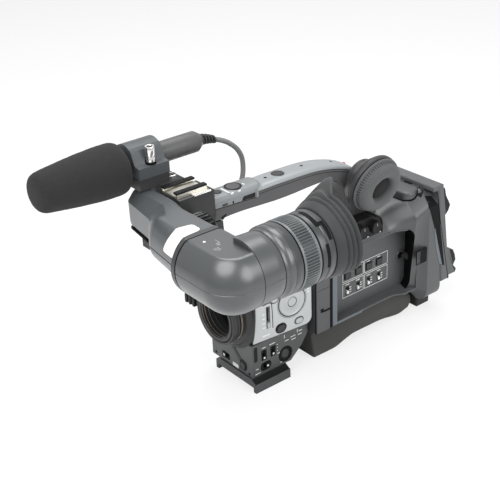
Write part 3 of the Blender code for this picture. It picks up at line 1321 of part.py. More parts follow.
def build_viewfinder_barrel():
    centre = (TUBE_X, VF_Z)
    end = FOCUS_REAR - FIT
    profile = [(VF_BORE, TUBE_SEAM_Y), (TUBE_RADIUS, TUBE_SEAM_Y)]
    profile += [(TUBE_RADIUS + 0.0006, COLLAR_Y - 0.002), (COLLAR_RADIUS, COLLAR_Y)]
    profile += [(COLLAR_RADIUS, FOCUS_FRONT - RUN), (NECK_RADIUS, FOCUS_FRONT - RUN), (NECK_RADIUS, end)]
    profile += [(VF_BORE, end)]
    finish(link("viewfinder_barrel", turned(profile, "Y", centre, 36)), SATIN_GREY, 0.35)
    inner = NECK_RADIUS + RUN
    profile = [(inner, FOCUS_FRONT), (FOCUS_RADIUS, FOCUS_FRONT), (FOCUS_RADIUS, FOCUS_REAR), (inner, FOCUS_REAR)]
    ring = turned(profile, "Y", centre, FOCUS_RIBS * 2, 0.0006, (1, 2))
    finish(link("focus_ring", ring, (TUBE_X, FOCUS_FRONT, VF_Z)), SATIN_GREY, 0.5)


def build_eyepiece():
    centre = (TUBE_X, VF_Z)
    front = FOCUS_REAR + RUN
    rear = front + EYE_COLLAR_LENGTH
    bore = EYE_LENS_RADIUS + FIT
    profile = [(bore, front), (EYE_COLLAR_RADIUS, front), (EYE_COLLAR_RADIUS, rear), (bore, rear)]
    collar = link("eyepiece_collar", turned(profile, "Y", centre, 36))
    finish(collar, SATIN_GREY, 0.4)
    back = front + EYE_COLLAR_LENGTH * 0.6
    profile = [(0, back - EYE_LENS_THICK), (EYE_LENS_RADIUS, back - EYE_LENS_THICK * 0.7)]
    profile += [(EYE_LENS_RADIUS, back - EYE_LENS_THICK * 0.3), (0, back)]
    finish(link("eyepiece_lens", turned(profile, "Y", centre, 28)), (0.03, 0.04, 0.05), 0.05)
    start = rear + FIT
    segments = 36
    bm = bmesh.new()
    shape = [(0.0, EYE_COLLAR_RADIUS), (0.25, EYE_COLLAR_RADIUS * 1.04), (0.6, EYECUP_RIM * 0.94), (1.0, EYECUP_RIM)]
    loops = []
    for wall, profile in ((0, shape), (EYECUP_WALL, shape[::-1])):
        for part, radius in profile:
            loop = []
            for segment in range(segments):
                angle = 2 * math.pi * segment / segments
                wing = max(math.cos(angle - math.radians(140)), 0) ** 6
                reach = EYECUP_LENGTH + EYECUP_WING * wing
                r = radius - wall - EYECUP_WING * 0.15 * wing * part
                y = start + reach * part
                loop.append(bm.verts.new((TUBE_X + r * math.cos(angle), y, VF_Z + r * math.sin(angle))))
            loops.append(loop)
    for low, high in zip(loops, loops[1:] + loops[:1]):
        for segment in range(segments):
            after = (segment + 1) % segments
            bm.faces.new((low[segment], low[after], high[after], high[segment]))
    finish(link("eyecup", bm), RUBBER, 0.8)


def main():
    for obj in list(bpy.data.objects):
        bpy.data.objects.remove(obj)
    build_tripod_plate()
    build_switch_block()
    build_block_switches()
    build_front_casing()
    build_lens_mount()
    build_sensor_block()
    frame = add_panel_frame()
    build_control_panel(frame)
    build_panel_controls(frame)
    for side in ("left", "right"):
        build_casing(side)
    build_circuit_board()
    build_screen_bay()
    build_bay_controls()
    build_audio_knobs()
    build_shoulder_pad()
    build_rear_foot()
    build_battery_plate()
    build_handle_grip()
    build_handle_cover()
    build_handle_buttons()
    build_handle_front_block()
    build_accessory_shoe()
    build_mic_holder()
    build_mic_clamp()
    build_microphone()
    build_audio_input()
    build_mic_cord()
    build_speaker()
    build_viewfinder_arm()
    build_lock_wheel()
    build_viewfinder_elbow()
    build_viewfinder_barrel()
    build_eyepiece()


main()
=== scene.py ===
"""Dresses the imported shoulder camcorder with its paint, rubber, foam and fittings.

Sizes in the mesh code are millimetres in the model's own frame: front towards -Y, operator's left
side towards +X, ground at z = 0. Each piece is scaled to metres as it is made.
"""

import math

import bmesh
import bpy
from bpy.props import FloatProperty, FloatVectorProperty, IntProperty, PointerProperty
from mathutils import Matrix, Vector, noise


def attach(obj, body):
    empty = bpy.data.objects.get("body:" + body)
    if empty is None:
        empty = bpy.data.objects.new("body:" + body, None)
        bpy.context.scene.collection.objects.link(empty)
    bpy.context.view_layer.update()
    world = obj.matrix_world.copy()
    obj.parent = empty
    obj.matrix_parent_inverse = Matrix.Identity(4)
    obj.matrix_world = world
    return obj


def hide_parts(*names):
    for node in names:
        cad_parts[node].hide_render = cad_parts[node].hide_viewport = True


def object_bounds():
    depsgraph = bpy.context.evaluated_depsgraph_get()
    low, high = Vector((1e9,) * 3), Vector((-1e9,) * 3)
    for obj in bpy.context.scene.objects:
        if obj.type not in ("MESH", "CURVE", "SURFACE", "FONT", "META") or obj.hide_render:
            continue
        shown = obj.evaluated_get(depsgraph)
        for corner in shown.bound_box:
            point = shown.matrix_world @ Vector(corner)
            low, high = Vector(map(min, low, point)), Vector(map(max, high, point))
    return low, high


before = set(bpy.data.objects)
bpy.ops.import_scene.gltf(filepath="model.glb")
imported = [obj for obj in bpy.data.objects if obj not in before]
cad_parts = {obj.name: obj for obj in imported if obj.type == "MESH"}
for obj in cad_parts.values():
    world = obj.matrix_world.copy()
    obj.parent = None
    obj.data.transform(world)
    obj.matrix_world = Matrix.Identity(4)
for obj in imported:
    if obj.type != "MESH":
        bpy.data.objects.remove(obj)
cad_low, cad_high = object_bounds()

bl_info = {
    "name": "Shoulder camcorder",
    "version": (1, 0, 0),
    "blender": (4, 5, 0),
    "location": "3D View > Sidebar > Camcorder",
    "description": "Dresses a shoulder camcorder's frame with its surfaces and fittings",
    "category": "Object",
}

MM = 0.001
MAIN = "camera_body"
EDGE_ANGLE = 32


def tint(red, green, blue):
    """A colour as the eye reads it, from 0 to 255, in linear light."""
    return tuple(((part / 255 + 0.055) / 1.055) ** 2.4 for part in (red, green, blue))


def colour(label, description, red, green, blue):
    return FloatVectorProperty(
        name=label,
        description=description,
        subtype="COLOR",
        min=0,
        max=1,
        default=tint(red, green, blue),
    )


class CamcorderColours(bpy.types.PropertyGroup):
    """Paint, plastic and rubber colours."""

    body: colour("Body", "Moulded plastic of the casings", 62, 63, 64)
    dark: colour("Dark plastic", "Handle sides, front casing, speaker and holder", 58, 58, 59)
    black: colour("Black plastic", "Switches, ring lever, level pod and battery hooks", 21, 21, 22)
    satin: colour("Viewfinder paint", "Satin paint of the viewfinder and the clamp", 56, 59, 61)
    strip: colour("Bay strip", "Bluish strip round the front of the screen bay", 98, 105, 110)
    silver: colour("Panel silver", "Silver paint of the control panel", 176, 179, 180)
    handle: colour("Handle silver", "Silver-grey paint of the handle's top", 138, 142, 144)
    rubber: colour("Rubber", "Rubber of the shoulder pad", 56, 55, 54)
    eyecup: colour("Eyecup rubber", "Soft rubber of the eyecup", 45, 46, 47)
    foam: colour("Foam", "Charcoal foam of the windscreen", 36, 35, 35)
    leather: colour("Ear pad", "Soft cover of the ear pad", 74, 75, 76)
    cord: colour("Cord", "Jacket of the microphone cord", 110, 111, 112)
    microphone: colour("Microphone", "Paint of the microphone's tube", 78, 78, 78)
    window: colour("Tally window", "Translucent lamp window", 246, 243, 232)
    mark: colour("Printed marks", "Pale print beside the controls", 214, 216, 214)


class CamcorderSizes(bpy.types.PropertyGroup):
    """Sizes of details that the frame leaves open."""

    edge: FloatProperty(
        name="Edge rounding",
        description="Rounding of moulded edges, in millimetres",
        default=0.6,
        min=0.1,
        max=2.0,
    )
    focus_ribs: IntProperty(
        name="Focus ribs", description="Grip ribs round the focus ring", default=76, min=24, max=160
    )
    wheel_ribs: IntProperty(
        name="Wheel ribs", description="Grip ribs round the lock wheel", default=24, min=8, max=60
    )
    pad_stitches: IntProperty(
        name="Ear pad gathers", description="Gathers round the ear pad's seam", default=64, min=16, max=120
    )
    foam_roughness: FloatProperty(
        name="Foam roughness",
        description="Height of the foam's unevenness, in millimetres",
        default=0.22,
        min=0,
        max=1,
    )


def colours():
    return bpy.context.scene.camcorder_colours


def sizes():
    return bpy.context.scene.camcorder_sizes


class Wire:
    """A node's output whose arithmetic adds Math nodes to its finish."""

    def __init__(self, finish, socket):
        self.finish = finish
        self.socket = socket

    def math(self, operation, first, second):
        return self.finish.node("ShaderNodeMath", {"operation": operation}, {0: first, 1: second})

    def __add__(self, other):
        return self.math("ADD", self, other)

    def __radd__(self, other):
        return self.math("ADD", other, self)

    def __sub__(self, other):
        return self.math("SUBTRACT", self, other)

    def __rsub__(self, other):
        return self.math("SUBTRACT", other, self)

    def __mul__(self, other):
        return self.math("MULTIPLY", self, other)

    def __rmul__(self, other):
        return self.math("MULTIPLY", other, self)


class Finish:
    """One procedural material, and the few calls that its surface is written with."""

    def __init__(self, name, **constants):
        self.material = bpy.data.materials.new(name)
        self.material.use_nodes = True
        self.tree = self.material.node_tree
        self.shader = self.tree.nodes["Principled BSDF"]
        for socket, value in constants.items():
            self.shader.inputs[socket.replace("_", " ")].default_value = value

    def node(self, kind, settings, values, output=0):
        made = self.tree.nodes.new(kind)
        for name, value in settings.items():
            setattr(made, name, value)
        for key, value in values.items():
            self.feed(made.inputs[key], value)
        return Wire(self, made.outputs[output])

    def feed(self, socket, value):
        if isinstance(value, Wire):
            self.tree.links.new(value.socket, socket)
        else:
            socket.default_value = value

    def wear(self, **wires):
        """Links wires to the shader's own sockets."""
        for socket, wire in wires.items():
            self.feed(self.shader.inputs[socket.replace("_", " ")], wire)
        return self.material

    def place(self):
        return self.node("ShaderNodeTexCoord", {}, {}, "Object")

    def clouds(self, scale, detail=2.0, roughness=0.5):
        values = {"Vector": self.place(), "Scale": scale, "Detail": detail, "Roughness": roughness}
        return self.node("ShaderNodeTexNoise", {}, values)

    def cells(self, scale):
        values = {"Vector": self.place(), "Scale": scale}
        return self.node("ShaderNodeTexVoronoi", {"feature": "F1"}, values, "Distance")

    def stretched(self, scale, stretch):
        """Clouds drawn out along one axis, as brushed metal is."""
        values = {0: self.place(), 1: stretch}
        place = self.node("ShaderNodeVectorMath", {"operation": "MULTIPLY"}, values)
        return self.node("ShaderNodeTexNoise", {}, {"Vector": place, "Scale": scale, "Detail": 3.0})


    def blend(self, factor, first, second):
        values = {0: factor, 6: (*first, 1.0), 7: (*second, 1.0)}
        return self.node("ShaderNodeMix", {"data_type": "RGBA"}, values, 2)

    def mottled(self, wire, base, spread):
        """A colour that varies evenly about its middle with a wire from 0 to 1."""
        return self.blend(wire, shade(base, 1 - spread), shade(base, 1 + spread))

    def uneven(self, wire, middle, spread):
        """A value that varies evenly about its middle with a wire from 0 to 1."""
        return middle + spread * (wire - 0.5)

    def bump(self, height, distance, strength=1.0):
        values = {"Height": height, "Distance": distance, "Strength": strength}
        return self.node("ShaderNodeBump", {}, values, "Normal")


class Studio(Finish):
    """The world's own nodes, written with the same calls as a material."""

    def __init__(self, name):
        self.world = bpy.data.worlds.new(name)
        self.world.use_nodes = True
        self.tree = self.world.node_tree
        self.shader = self.tree.nodes["Background"]
        self.shader.inputs["Color"].default_value = (1.0, 1.0, 1.0, 1.0)


def shade(base, amount):
    return tuple(min(part * amount, 1.0) for part in base)


def moulded(name, base, roughness, grain=1500, depth=0.00005, gloss=0.22):
    """Fine-textured moulded plastic, a little uneven in colour and gloss."""
    finish = Finish(name, Specular_IOR_Level=gloss)
    spark = finish.clouds(grain, 3.0, 0.6)
    patch = finish.clouds(28, 3.0, 0.55)
    tone = finish.mottled(spark * 0.35 + patch * 0.65, base, 0.12)
    rough = finish.uneven(patch, roughness, 0.12)
    return finish.wear(Base_Color=tone, Roughness=rough, Normal=finish.bump(spark, depth, 0.6))


def painted(name, base, roughness, coat=0.2, flake=0.0, gloss=0.3):
    """Satin paint over a smooth moulding, with a faint orange-peel surface."""
    finish = Finish(name, Coat_Weight=coat, Coat_Roughness=0.25, Specular_IOR_Level=gloss, Metallic=flake)
    peel = finish.clouds(420, 2.0, 0.5)
    patch = finish.clouds(22, 2.0, 0.5)
    speck = finish.clouds(3600, 1.0, 0.5)
    tone = finish.mottled(patch * 0.6 + speck * 0.4, base, 0.08)
    rough = finish.uneven(patch, roughness, 0.08)
    return finish.wear(Base_Color=tone, Roughness=rough, Normal=finish.bump(peel, 0.00003, 0.5))


def metal(name, base, roughness, stretch):
    """Bare metal with fine drawn lines."""
    finish = Finish(name, Metallic=1.0)
    line = finish.stretched(900, stretch)
    patch = finish.clouds(40, 2.0, 0.5)
    tone = finish.blend(line * 0.5 + patch * 0.5, shade(base, 0.85), shade(base, 1.1))
    rough = finish.uneven(line, roughness + 0.02, 0.14)
    return finish.wear(Base_Color=tone, Roughness=rough, Normal=finish.bump(line, 0.00002, 0.5))


def soft(name, base, roughness, scale, depth):
    """Rubber or leathery cover: matt, finely pitted, with paler worn patches."""
    finish = Finish(name, Specular_IOR_Level=0.2, Sheen_Weight=0.1, Sheen_Roughness=0.6)
    pit = finish.cells(scale)
    patch = finish.clouds(35, 4.0, 0.6)
    tone = finish.mottled(patch * 0.7 + pit * 0.3, base, 0.14)
    rough = finish.uneven(patch, roughness, 0.16)
    return finish.wear(Base_Color=tone, Roughness=rough, Normal=finish.bump(pit, depth, 0.5))


def foamed(name, base):
    """Open-cell foam: dark pores between paler strands."""
    finish = Finish(name, Roughness=0.95, Specular_IOR_Level=0.05, Sheen_Weight=0.06, Sheen_Roughness=0.8)
    pore = finish.cells(1300)
    fine = finish.clouds(2600, 2.0, 0.6)
    patch = finish.clouds(60, 3.0, 0.6)
    tone = finish.mottled(pore * 0.6 + fine * 0.5, base, 0.3)
    height = pore * 0.7 + fine * 0.3 + patch * 0.4
    return finish.wear(Base_Color=tone, Normal=finish.bump(height, 0.0004, 0.7))


def plain(name, base, roughness, glow=0.0, gloss=0.25):
    """A small even surface with faint mottling; glow adds a painted glow of its own colour."""
    finish = Finish(name, Specular_IOR_Level=gloss)
    patch = finish.clouds(90, 2.0, 0.5)
    finish.wear(Base_Color=finish.mottled(patch, base, 0.07), Roughness=finish.uneven(patch, roughness, 0.06))
    if glow:
        finish.shader.inputs["Emission Color"].default_value = (*base, 1.0)
        finish.shader.inputs["Emission Strength"].default_value = glow
    return finish.material


def glass(name, base):
    """Dark coated optical glass."""
    finish = Finish(name, Coat_Weight=1.0, Coat_Roughness=0.02, IOR=1.6)
    patch = finish.clouds(12, 1.0, 0.5)
    tone = finish.mottled(patch, base, 0.4)
    return finish.wear(Base_Color=tone, Roughness=finish.uneven(patch, 0.045, 0.03))


MAKERS = {
    "body_plastic": lambda name, c: moulded(name, c.body, 0.37, gloss=0.55),
    "bay_plastic": lambda name, c: moulded(name, shade(c.body, 1.45), 0.46, gloss=0.35),
    "strip_plastic": lambda name, c: moulded(name, c.strip, 0.5),
    "dark_plastic": lambda name, c: moulded(name, shade(c.dark, 0.85), 0.42),
    "grip_plastic": lambda name, c: moulded(name, shade(c.dark, 1.7), 0.44),
    "battery_plastic": lambda name, c: moulded(name, shade(c.body, 1.9), 0.42),
    "black_plastic": lambda name, c: moulded(name, c.black, 0.42, gloss=0.15),
    "mount_black": lambda name, c: moulded(name, shade(c.dark, 0.8), 0.36, grain=900),
    "deep_black": lambda name, c: plain(name, (0.003, 0.003, 0.0035), 0.6, gloss=0.1),
    "satin_paint": lambda name, c: painted(name, c.satin, 0.32, gloss=0.65),
    "arm_paint": lambda name, c: painted(name, shade(c.satin, 1.6), 0.33, coat=0.15, gloss=0.65),
    # The collar's own darker satin, also laid as painted shade on the arm's end rim and at the bottom of the
    # focus ring's grooves.
    "collar_paint_and_shade": lambda name, c: painted(name, shade(c.satin, 0.75), 0.34, coat=0.1, gloss=0.45),
    "rib_paint": lambda name, c: painted(name, shade(c.satin, 2.8), 0.34, coat=0.1, gloss=0.5),
    "clamp_paint": lambda name, c: painted(name, shade(c.satin, 1.4), 0.42, coat=0.05),
    "panel_silver": lambda name, c: painted(name, c.silver, 0.36, flake=0.25, gloss=0.5),
    "key_silver": lambda name, c: painted(name, shade(c.silver, 0.9), 0.33, flake=0.25, gloss=0.5),
    "handle_silver": lambda name, c: painted(name, c.handle, 0.36, coat=0.15, flake=0.25, gloss=0.4),
    "handle_plate": lambda name, c: painted(name, shade(c.handle, 0.72), 0.4, coat=0.1, flake=0.1),
    "microphone_paint": lambda name, c: painted(name, c.microphone, 0.42, coat=0.05),
    "plate_metal": lambda name, c: painted(name, shade(c.body, 1.2), 0.4, coat=0.05, flake=0.1),
    "rubber": lambda name, c: soft(name, c.rubber, 0.66, scale=1100, depth=0.00006),
    "eyecup_rubber": lambda name, c: soft(name, c.eyecup, 0.5, scale=1500, depth=0.00004),
    "ear_leather": lambda name, c: soft(name, c.leather, 0.6, scale=900, depth=0.00008),
    "cord_jacket": lambda name, c: soft(name, c.cord, 0.5, scale=1800, depth=0.00003),
    "foam": lambda name, c: foamed(name, c.foam),
    # Gauze in the ear pad's hole: dark fabric, darkened much further as painted shade of the hole.
    "gauze_foam_and_shade": lambda name, c: foamed(name, shade(c.foam, 0.3)),
    "shoe_steel": lambda name, c: metal(name, (0.76, 0.73, 0.65), 0.34, stretch=(1, 14, 1)),
    "bright_steel": lambda name, c: metal(name, (0.80, 0.80, 0.79), 0.14, stretch=(1, 1, 8)),
    "ring_steel": lambda name, c: metal(name, (0.42, 0.36, 0.28), 0.28, stretch=(1, 12, 1)),
    # The tally window's glow is painted light: the window is no lamp, yet glows a little so that it looks lit
    # through.
    "tally_window": lambda name, c: plain(name, c.window, 0.3, glow=0.16),
    "pale_print": lambda name, c: plain(name, c.mark, 0.5),
    "faint_print": lambda name, c: plain(name, shade(c.mark, 0.42), 0.5),
    "knob_white": lambda name, c: plain(name, (0.80, 0.80, 0.78), 0.4),
    "dark_print": lambda name, c: plain(name, (0.035, 0.036, 0.038), 0.5),
    "red_lamp": lambda name, c: plain(name, (0.42, 0.03, 0.03), 0.25),
    "dark_glass": lambda name, c: glass(name, (0.012, 0.014, 0.02)),
    "board_green": lambda name, c: plain(name, (0.02, 0.10, 0.05), 0.5),
}
made_finishes = {}


def finish_of(name):
    if name not in made_finishes:
        made_finishes[name] = MAKERS[name](name, colours())
    return made_finishes[name]


def arc(centre, radius, start, end, steps):
    """Points of an arc in degrees, both ends included."""
    points = []
    for step in range(steps + 1):
        angle = math.radians(start + (end - start) * step / steps)
        points.append((centre[0] + radius * math.cos(angle), centre[1] + radius * math.sin(angle)))
    return points


def bend(before, corner, after, radius, steps=5):
    """Points of one rounded corner between its two neighbours."""
    corner = Vector(corner)
    back = Vector(before) - corner
    ahead = Vector(after) - corner
    reach = min(radius, back.length * 0.49, ahead.length * 0.49)
    first = corner + back.normalized() * reach
    last = corner + ahead.normalized() * reach
    points = []
    for step in range(steps + 1):
        part = step / steps
        points.append(tuple(first * (1 - part) ** 2 + corner * 2 * part * (1 - part) + last * part ** 2))
    return points


def rounded(outline, radius, steps=5):
    """A closed outline with its corners rounded by one radius."""
    points = []
    count = len(outline)
    for index in range(count):
        points += bend(outline[index - 1], outline[index], outline[(index + 1) % count], radius, steps)
    return points


def rectangle(low, high):
    """The four corners between a low and a high one."""
    return [(low[0], low[1]), (high[0], low[1]), (high[0], high[1]), (low[0], high[1])]


def panel_of(low, high, radius):
    """A rounded rectangle between two corners."""
    return rounded(rectangle(low, high), radius)


def smooth(points, steps):
    """A smooth open curve through the points, read at equal parts of each stretch."""
    vectors = [Vector(point) for point in points]
    ends = [vectors[0] * 2 - vectors[1]] + vectors + [vectors[-1] * 2 - vectors[-2]]
    curve = []
    for index in range(1, len(ends) - 2):
        a, b, c, d = ends[index - 1:index + 3]
        for step in range(steps):
            t = step / steps
            point = b * 2 + (c - a) * t + (a * 2 - b * 5 + c * 4 - d) * t * t
            point += (b * 3 - a - c * 3 + d) * t ** 3
            curve.append(tuple(point * 0.5))
    curve.append(tuple(vectors[-1]))
    return curve


def share(low, high, value):
    """How far a value lies between two others, held between 0 and 1."""
    return min(max((value - low) / (high - low), 0.0), 1.0)


def ease(low, high, value):
    """0 below low, 1 above high, and a smooth step between them."""
    part = share(low, high, value)
    return part * part * (3 - 2 * part)


def held_below(value, limit, width):
    """The lower of two heights, with the corner between them rounded."""
    part = min(max(0.5 + 0.5 * (limit - value) / width, 0.0), 1.0)
    return limit + (value - limit) * part - width * part * (1 - part)


def spot(axis, first, second, along):
    """A place from its two values across an axis and the one along it."""
    if axis == "X":
        return (along, first, second)
    if axis == "Y":
        return (first, along, second)
    return (first, second, along)


def add_loft(bm, sections, ends="caps"):
    """A skin through loops of equally many points; its ends get caps, stay open or meet in a ring."""
    loops = [[bm.verts.new(point) for point in section] for section in sections]
    following = loops[1:] + loops[:1] if ends == "ring" else loops[1:]
    for low, high in zip(loops, following):
        for index in range(len(low)):
            after = (index + 1) % len(low)
            bm.faces.new((low[index], low[after], high[after], high[index]))
    if ends == "caps":
        bm.faces.new(loops[0])
        bm.faces.new(loops[-1])


def loft(sections, ends="caps"):
    bm = bmesh.new()
    add_loft(bm, sections, ends)
    return bm


def add_band(bm, outer, inner, axis, low, high):
    """A flat frame between two outlines of equally many points."""
    levels = ((outer, low), (outer, high), (inner, high), (inner, low))
    add_loft(bm, [[spot(axis, a, b, along) for a, b in outline] for outline, along in levels], "ring")


def add_prism(bm, outline, axis, low, high):
    add_loft(bm, [[spot(axis, a, b, along) for a, b in outline] for along in (low, high)])


def prism(outline, axis, low, high):
    bm = bmesh.new()
    add_prism(bm, outline, axis, low, high)
    return bm


def boxes(*corners):
    """Several boxes in one mesh, each from its low and high corners."""
    bm = bmesh.new()
    for low, high in corners:
        add_prism(bm, rectangle(low, high), "Z", low[2], high[2])
    return bm


def disc(radius, low, high):
    """Profile of a flat disc."""
    return [(0, low), (radius, low), (radius, high), (0, high)]


def washer(inner, outer, low, high):
    """Profile of a flat ring."""
    return [(inner, low), (outer, low), (outer, high), (inner, high)]


def add_turned(bm, profile, axis, centre, segments, wave=None, depth=0.0, ribbed=()):
    """A turned skin from (radius, place along) points; wave gives the ribs' depth round ribbed points."""
    loops = []
    for index, (radius, along) in enumerate(profile):
        if radius == 0:
            loops.append([bm.verts.new(spot(axis, centre[0], centre[1], along))])
            continue
        loop = []
        for segment in range(segments):
            angle = 2 * math.pi * segment / segments
            reach = radius
            if wave and index in ribbed:
                reach -= depth * wave(angle)
            across = (centre[0] + reach * math.cos(angle), centre[1] + reach * math.sin(angle))
            loop.append(bm.verts.new(spot(axis, across[0], across[1], along)))
        loops.append(loop)
    pairs = list(zip(loops, loops[1:]))
    if profile[0][0] > 0:
        pairs.append((loops[-1], loops[0]))
    for low, high in pairs:
        for segment in range(segments):
            after = (segment + 1) % segments
            corners = [low[segment % len(low)], low[after % len(low)]]
            corners += [high[after % len(high)], high[segment % len(high)]]
            bm.faces.new(list(dict.fromkeys(corners)))


def turned(profile, axis, centre, segments, wave=None, depth=0.0, ribbed=()):
    bm = bmesh.new()
    add_turned(bm, profile, axis, centre, segments, wave, depth, ribbed)
    return bm


def comb(count, gap, slope):
    """Depth round a ribbed rim: 0 on a rib, 1 between ribs, with sloped flanks."""
    def depth(angle):
        part = (angle * count / (2 * math.pi)) % 1.0
        away = abs(part - 0.5) * 2
        return 1 - min(max((away - (1 - gap)) / slope, 0.0), 1.0)
    return depth


def tube(points, radius, sides):
    """A round rod along a line of points, with flat ends."""
    path = [Vector(point) for point in points]
    sections = []
    side = None
    for index, point in enumerate(path):
        ahead = path[min(index + 1, len(path) - 1)] - path[max(index - 1, 0)]
        ahead.normalize()
        if side is None:
            side = ahead.orthogonal().normalized()
        side = (side - ahead * side.dot(ahead)).normalized()
        other = ahead.cross(side)
        loop = []
        for step in range(sides):
            angle = 2 * math.pi * step / sides
            loop.append(tuple(point + (side * math.cos(angle) + other * math.sin(angle)) * radius))
        sections.append(loop)
    return loft(sections)


def soften(obj, width, steps):
    """Rounds a piece's edges by a width in millimetres."""
    modifier = obj.modifiers.new("edges", "BEVEL")
    modifier.width = width * MM
    modifier.segments = steps
    modifier.limit_method = "ANGLE"
    modifier.angle_limit = math.radians(EDGE_ANGLE)
    modifier.harden_normals = True


def mesh_of(name, bm):
    """A mesh in metres from one in millimetres, with its faces turned outwards."""
    bmesh.ops.recalc_face_normals(bm, faces=bm.faces)
    bmesh.ops.scale(bm, vec=(MM, MM, MM), verts=bm.verts)
    mesh = bpy.data.meshes.new(name)
    bm.to_mesh(mesh)
    bm.free()
    return mesh


def piece(name, bm, body, finish, edge=0.0, steps=2, stands_for=(), turn=None, angle=38, other=None):
    """A named piece in its finish, on its body; it may stand for nodes of the frame.

    other is a second finish and a test of a face's middle, in millimetres.
    """
    if turn is not None:
        bmesh.ops.transform(bm, matrix=turn, verts=bm.verts)
    mesh = mesh_of(name, bm)
    mesh.shade_smooth()
    mesh.set_sharp_from_angle(angle=math.radians(angle))
    mesh.materials.append(finish_of(finish))
    if other:
        mesh.materials.append(finish_of(other[0]))
        for face in mesh.polygons:
            face.material_index = int(other[1](face.center / MM))
    obj = bpy.data.objects.new(name, mesh)
    bpy.context.scene.collection.objects.link(obj)
    if edge:
        soften(obj, edge, steps)
    if stands_for:
        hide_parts(*stands_for)
    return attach(obj, body)


def dress(node, finish, edge=0.0, steps=2):
    """A node of the frame in its finish, with its edges rounded."""
    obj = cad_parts[node]
    obj.data.materials.clear()
    obj.data.materials.append(finish_of(finish))
    obj.data.shade_smooth()
    obj.data.set_sharp_from_angle(angle=math.radians(EDGE_ANGLE))
    if edge:
        flat = obj.modifiers.new("flats", "DECIMATE")
        flat.decimate_type = "DISSOLVE"
        flat.angle_limit = math.radians(1.0)
        soften(obj, edge, steps)
    return obj


# Viewfinder
ARM_Y = -103.0
ARM_SLIM = 17.4
ARM_SPREAD = 5.6
ARM_BACK = 21.2
ARM_RISE = 26
VF_Z = 187.0
VF_R = 27.6
VF_TOP = 210.0
RIM_X = 72.7
SEAM_X = 78.0
TUBE_X = 112.0
STEP_Y = -95.0
TUBE_END = -74.5
NOSE_TIP = -28
NOSE_BACK = -81.8
NOSE_FLAT = 12.5
RAIL_END = 42.3
RAIL_HALF = 5.6
RAIL_FLOOR = -87.8


def signed(value, power):
    return math.copysign(abs(value) ** power, value)


def nose_front(x):
    """Y of the nose's plain front face."""
    return -102 - (x - NOSE_TIP) * 0.15


def nose_place(x, angle):
    """Y and z on the slim nose's section: flat top, hollow hood and a plain front face."""
    end = min((x - NOSE_TIP) / 3, 1)
    shrink = 0.86 + 0.14 * math.sqrt(max(1 - (1 - end) ** 2, 0))
    front = nose_front(x)
    middle = (front + NOSE_BACK) / 2
    y = middle + (NOSE_BACK - middle) * signed(math.cos(angle), 1 / 3) * shrink
    z = 194 + 16 * signed(math.sin(angle), 1 / 3) * shrink
    run = NOSE_BACK - NOSE_FLAT - front
    part = min(max((NOSE_BACK - NOSE_FLAT - y) / run, 0), 1.2)
    hood = VF_TOP - 9.2 * part ** 0.85
    return y, held_below(z, hood, 0.5)


def arm_place(x, angle, lift=0.0):
    """Y and z on the arm's skin at one place, lifted outwards; the arm widens towards its rim."""
    reach = ARM_SLIM + ARM_SPREAD * share(33, 75, x)
    across = math.cos(angle)
    up = math.sin(angle)
    power = 2 / 3 if across > 0 else 1.0
    y = ARM_Y + ((ARM_BACK if across > 0 else reach) + lift) * signed(across, power)
    z = VF_Z + ((ARM_RISE if up > 0 else reach) + lift) * signed(up, power)
    z = held_below(z, VF_TOP + lift, 0.9)
    part = ease(10, 33, x)
    if part < 1:
        slim = nose_place(x, angle)
        y = slim[0] + (y - slim[0]) * part
        z = slim[1] + (z - slim[1]) * part
    return y, z


def rim_loop(x, radius, angles):
    """A section of the round rim at the arm's end, flat on top."""
    loop = []
    for degrees in angles:
        angle = math.radians(degrees)
        z = held_below(VF_Z + radius * math.sin(angle), VF_TOP + 0.3, 0.6)
        loop.append((x, ARM_Y + radius * math.cos(angle), z))
    return loop


def arm_angles():
    """Angles round the arm's section, closer together where the nose's section is flat."""
    angles = [3 * step for step in range(120)]
    for step in range(1, 24):
        flat = math.degrees(math.acos((step / 24) ** 3))
        for start in (0, 90, 180, 270):
            angles += [start + flat, start + 90 - flat]
    return sorted({round(angle % 360, 2) for angle in angles})


def arm_loop(x, angles):
    """A section of the arm, with the rail's groove in its back."""
    loop = []
    for degrees in angles:
        y, z = arm_place(x, math.radians(degrees))
        if x < RAIL_END and y > -90 and abs(z - VF_Z) < RAIL_HALF:
            y = min(y, RAIL_FLOOR)
        loop.append((x, y, z))
    return loop


def elbow_place(radius, angle, turn):
    """A point of the elbow's corner: round outside, mitred inside."""
    out = radius * math.cos(angle)
    up = radius * math.sin(angle)
    if out > 0.0001:
        swing = math.radians(turn)
        return Vector((TUBE_X + out * math.sin(swing), ARM_Y - out * math.cos(swing), VF_Z + up))
    return Vector((TUBE_X + out, ARM_Y - out, VF_Z + up))


def elbow_point(kind, place, degrees):
    """A point of one ring round the elbow: at its arm end, on its corner or along its tube."""
    angle = math.radians(degrees)
    on_parting_line = min(degrees % 180, 180 - degrees % 180) < 0.1
    radius = VF_R - (0.32 if on_parting_line else 0.0)
    if kind == "arm":
        inset = 0.5 if place < SEAM_X + 0.5 else 0.0
        corner = elbow_place(radius - inset, angle, 0)
        point = Vector((min(place, corner.x), corner.y, corner.z))
    elif kind == "turn":
        point = elbow_place(radius, angle, place)
    else:
        point = elbow_place(radius, angle, 90)
        if point.y <= place:
            groove = 0.7 if STEP_Y - 0.01 < place < STEP_Y + 0.45 else 0.0
            taper = 0.6 * ease(-94, -76, place) + (0.4 if place == TUBE_END else 0.0)
            shrink = (radius - groove - taper) / radius
            point.x = TUBE_X + (point.x - TUBE_X) * shrink
            point.y = place
            point.z = VF_Z + (point.z - VF_Z) * shrink
    if kind != "tube" or place < STEP_Y - 0.02 or point.x < TUBE_X - 15.25:
        point.z = held_below(point.z, VF_TOP, 0.9)
    return point


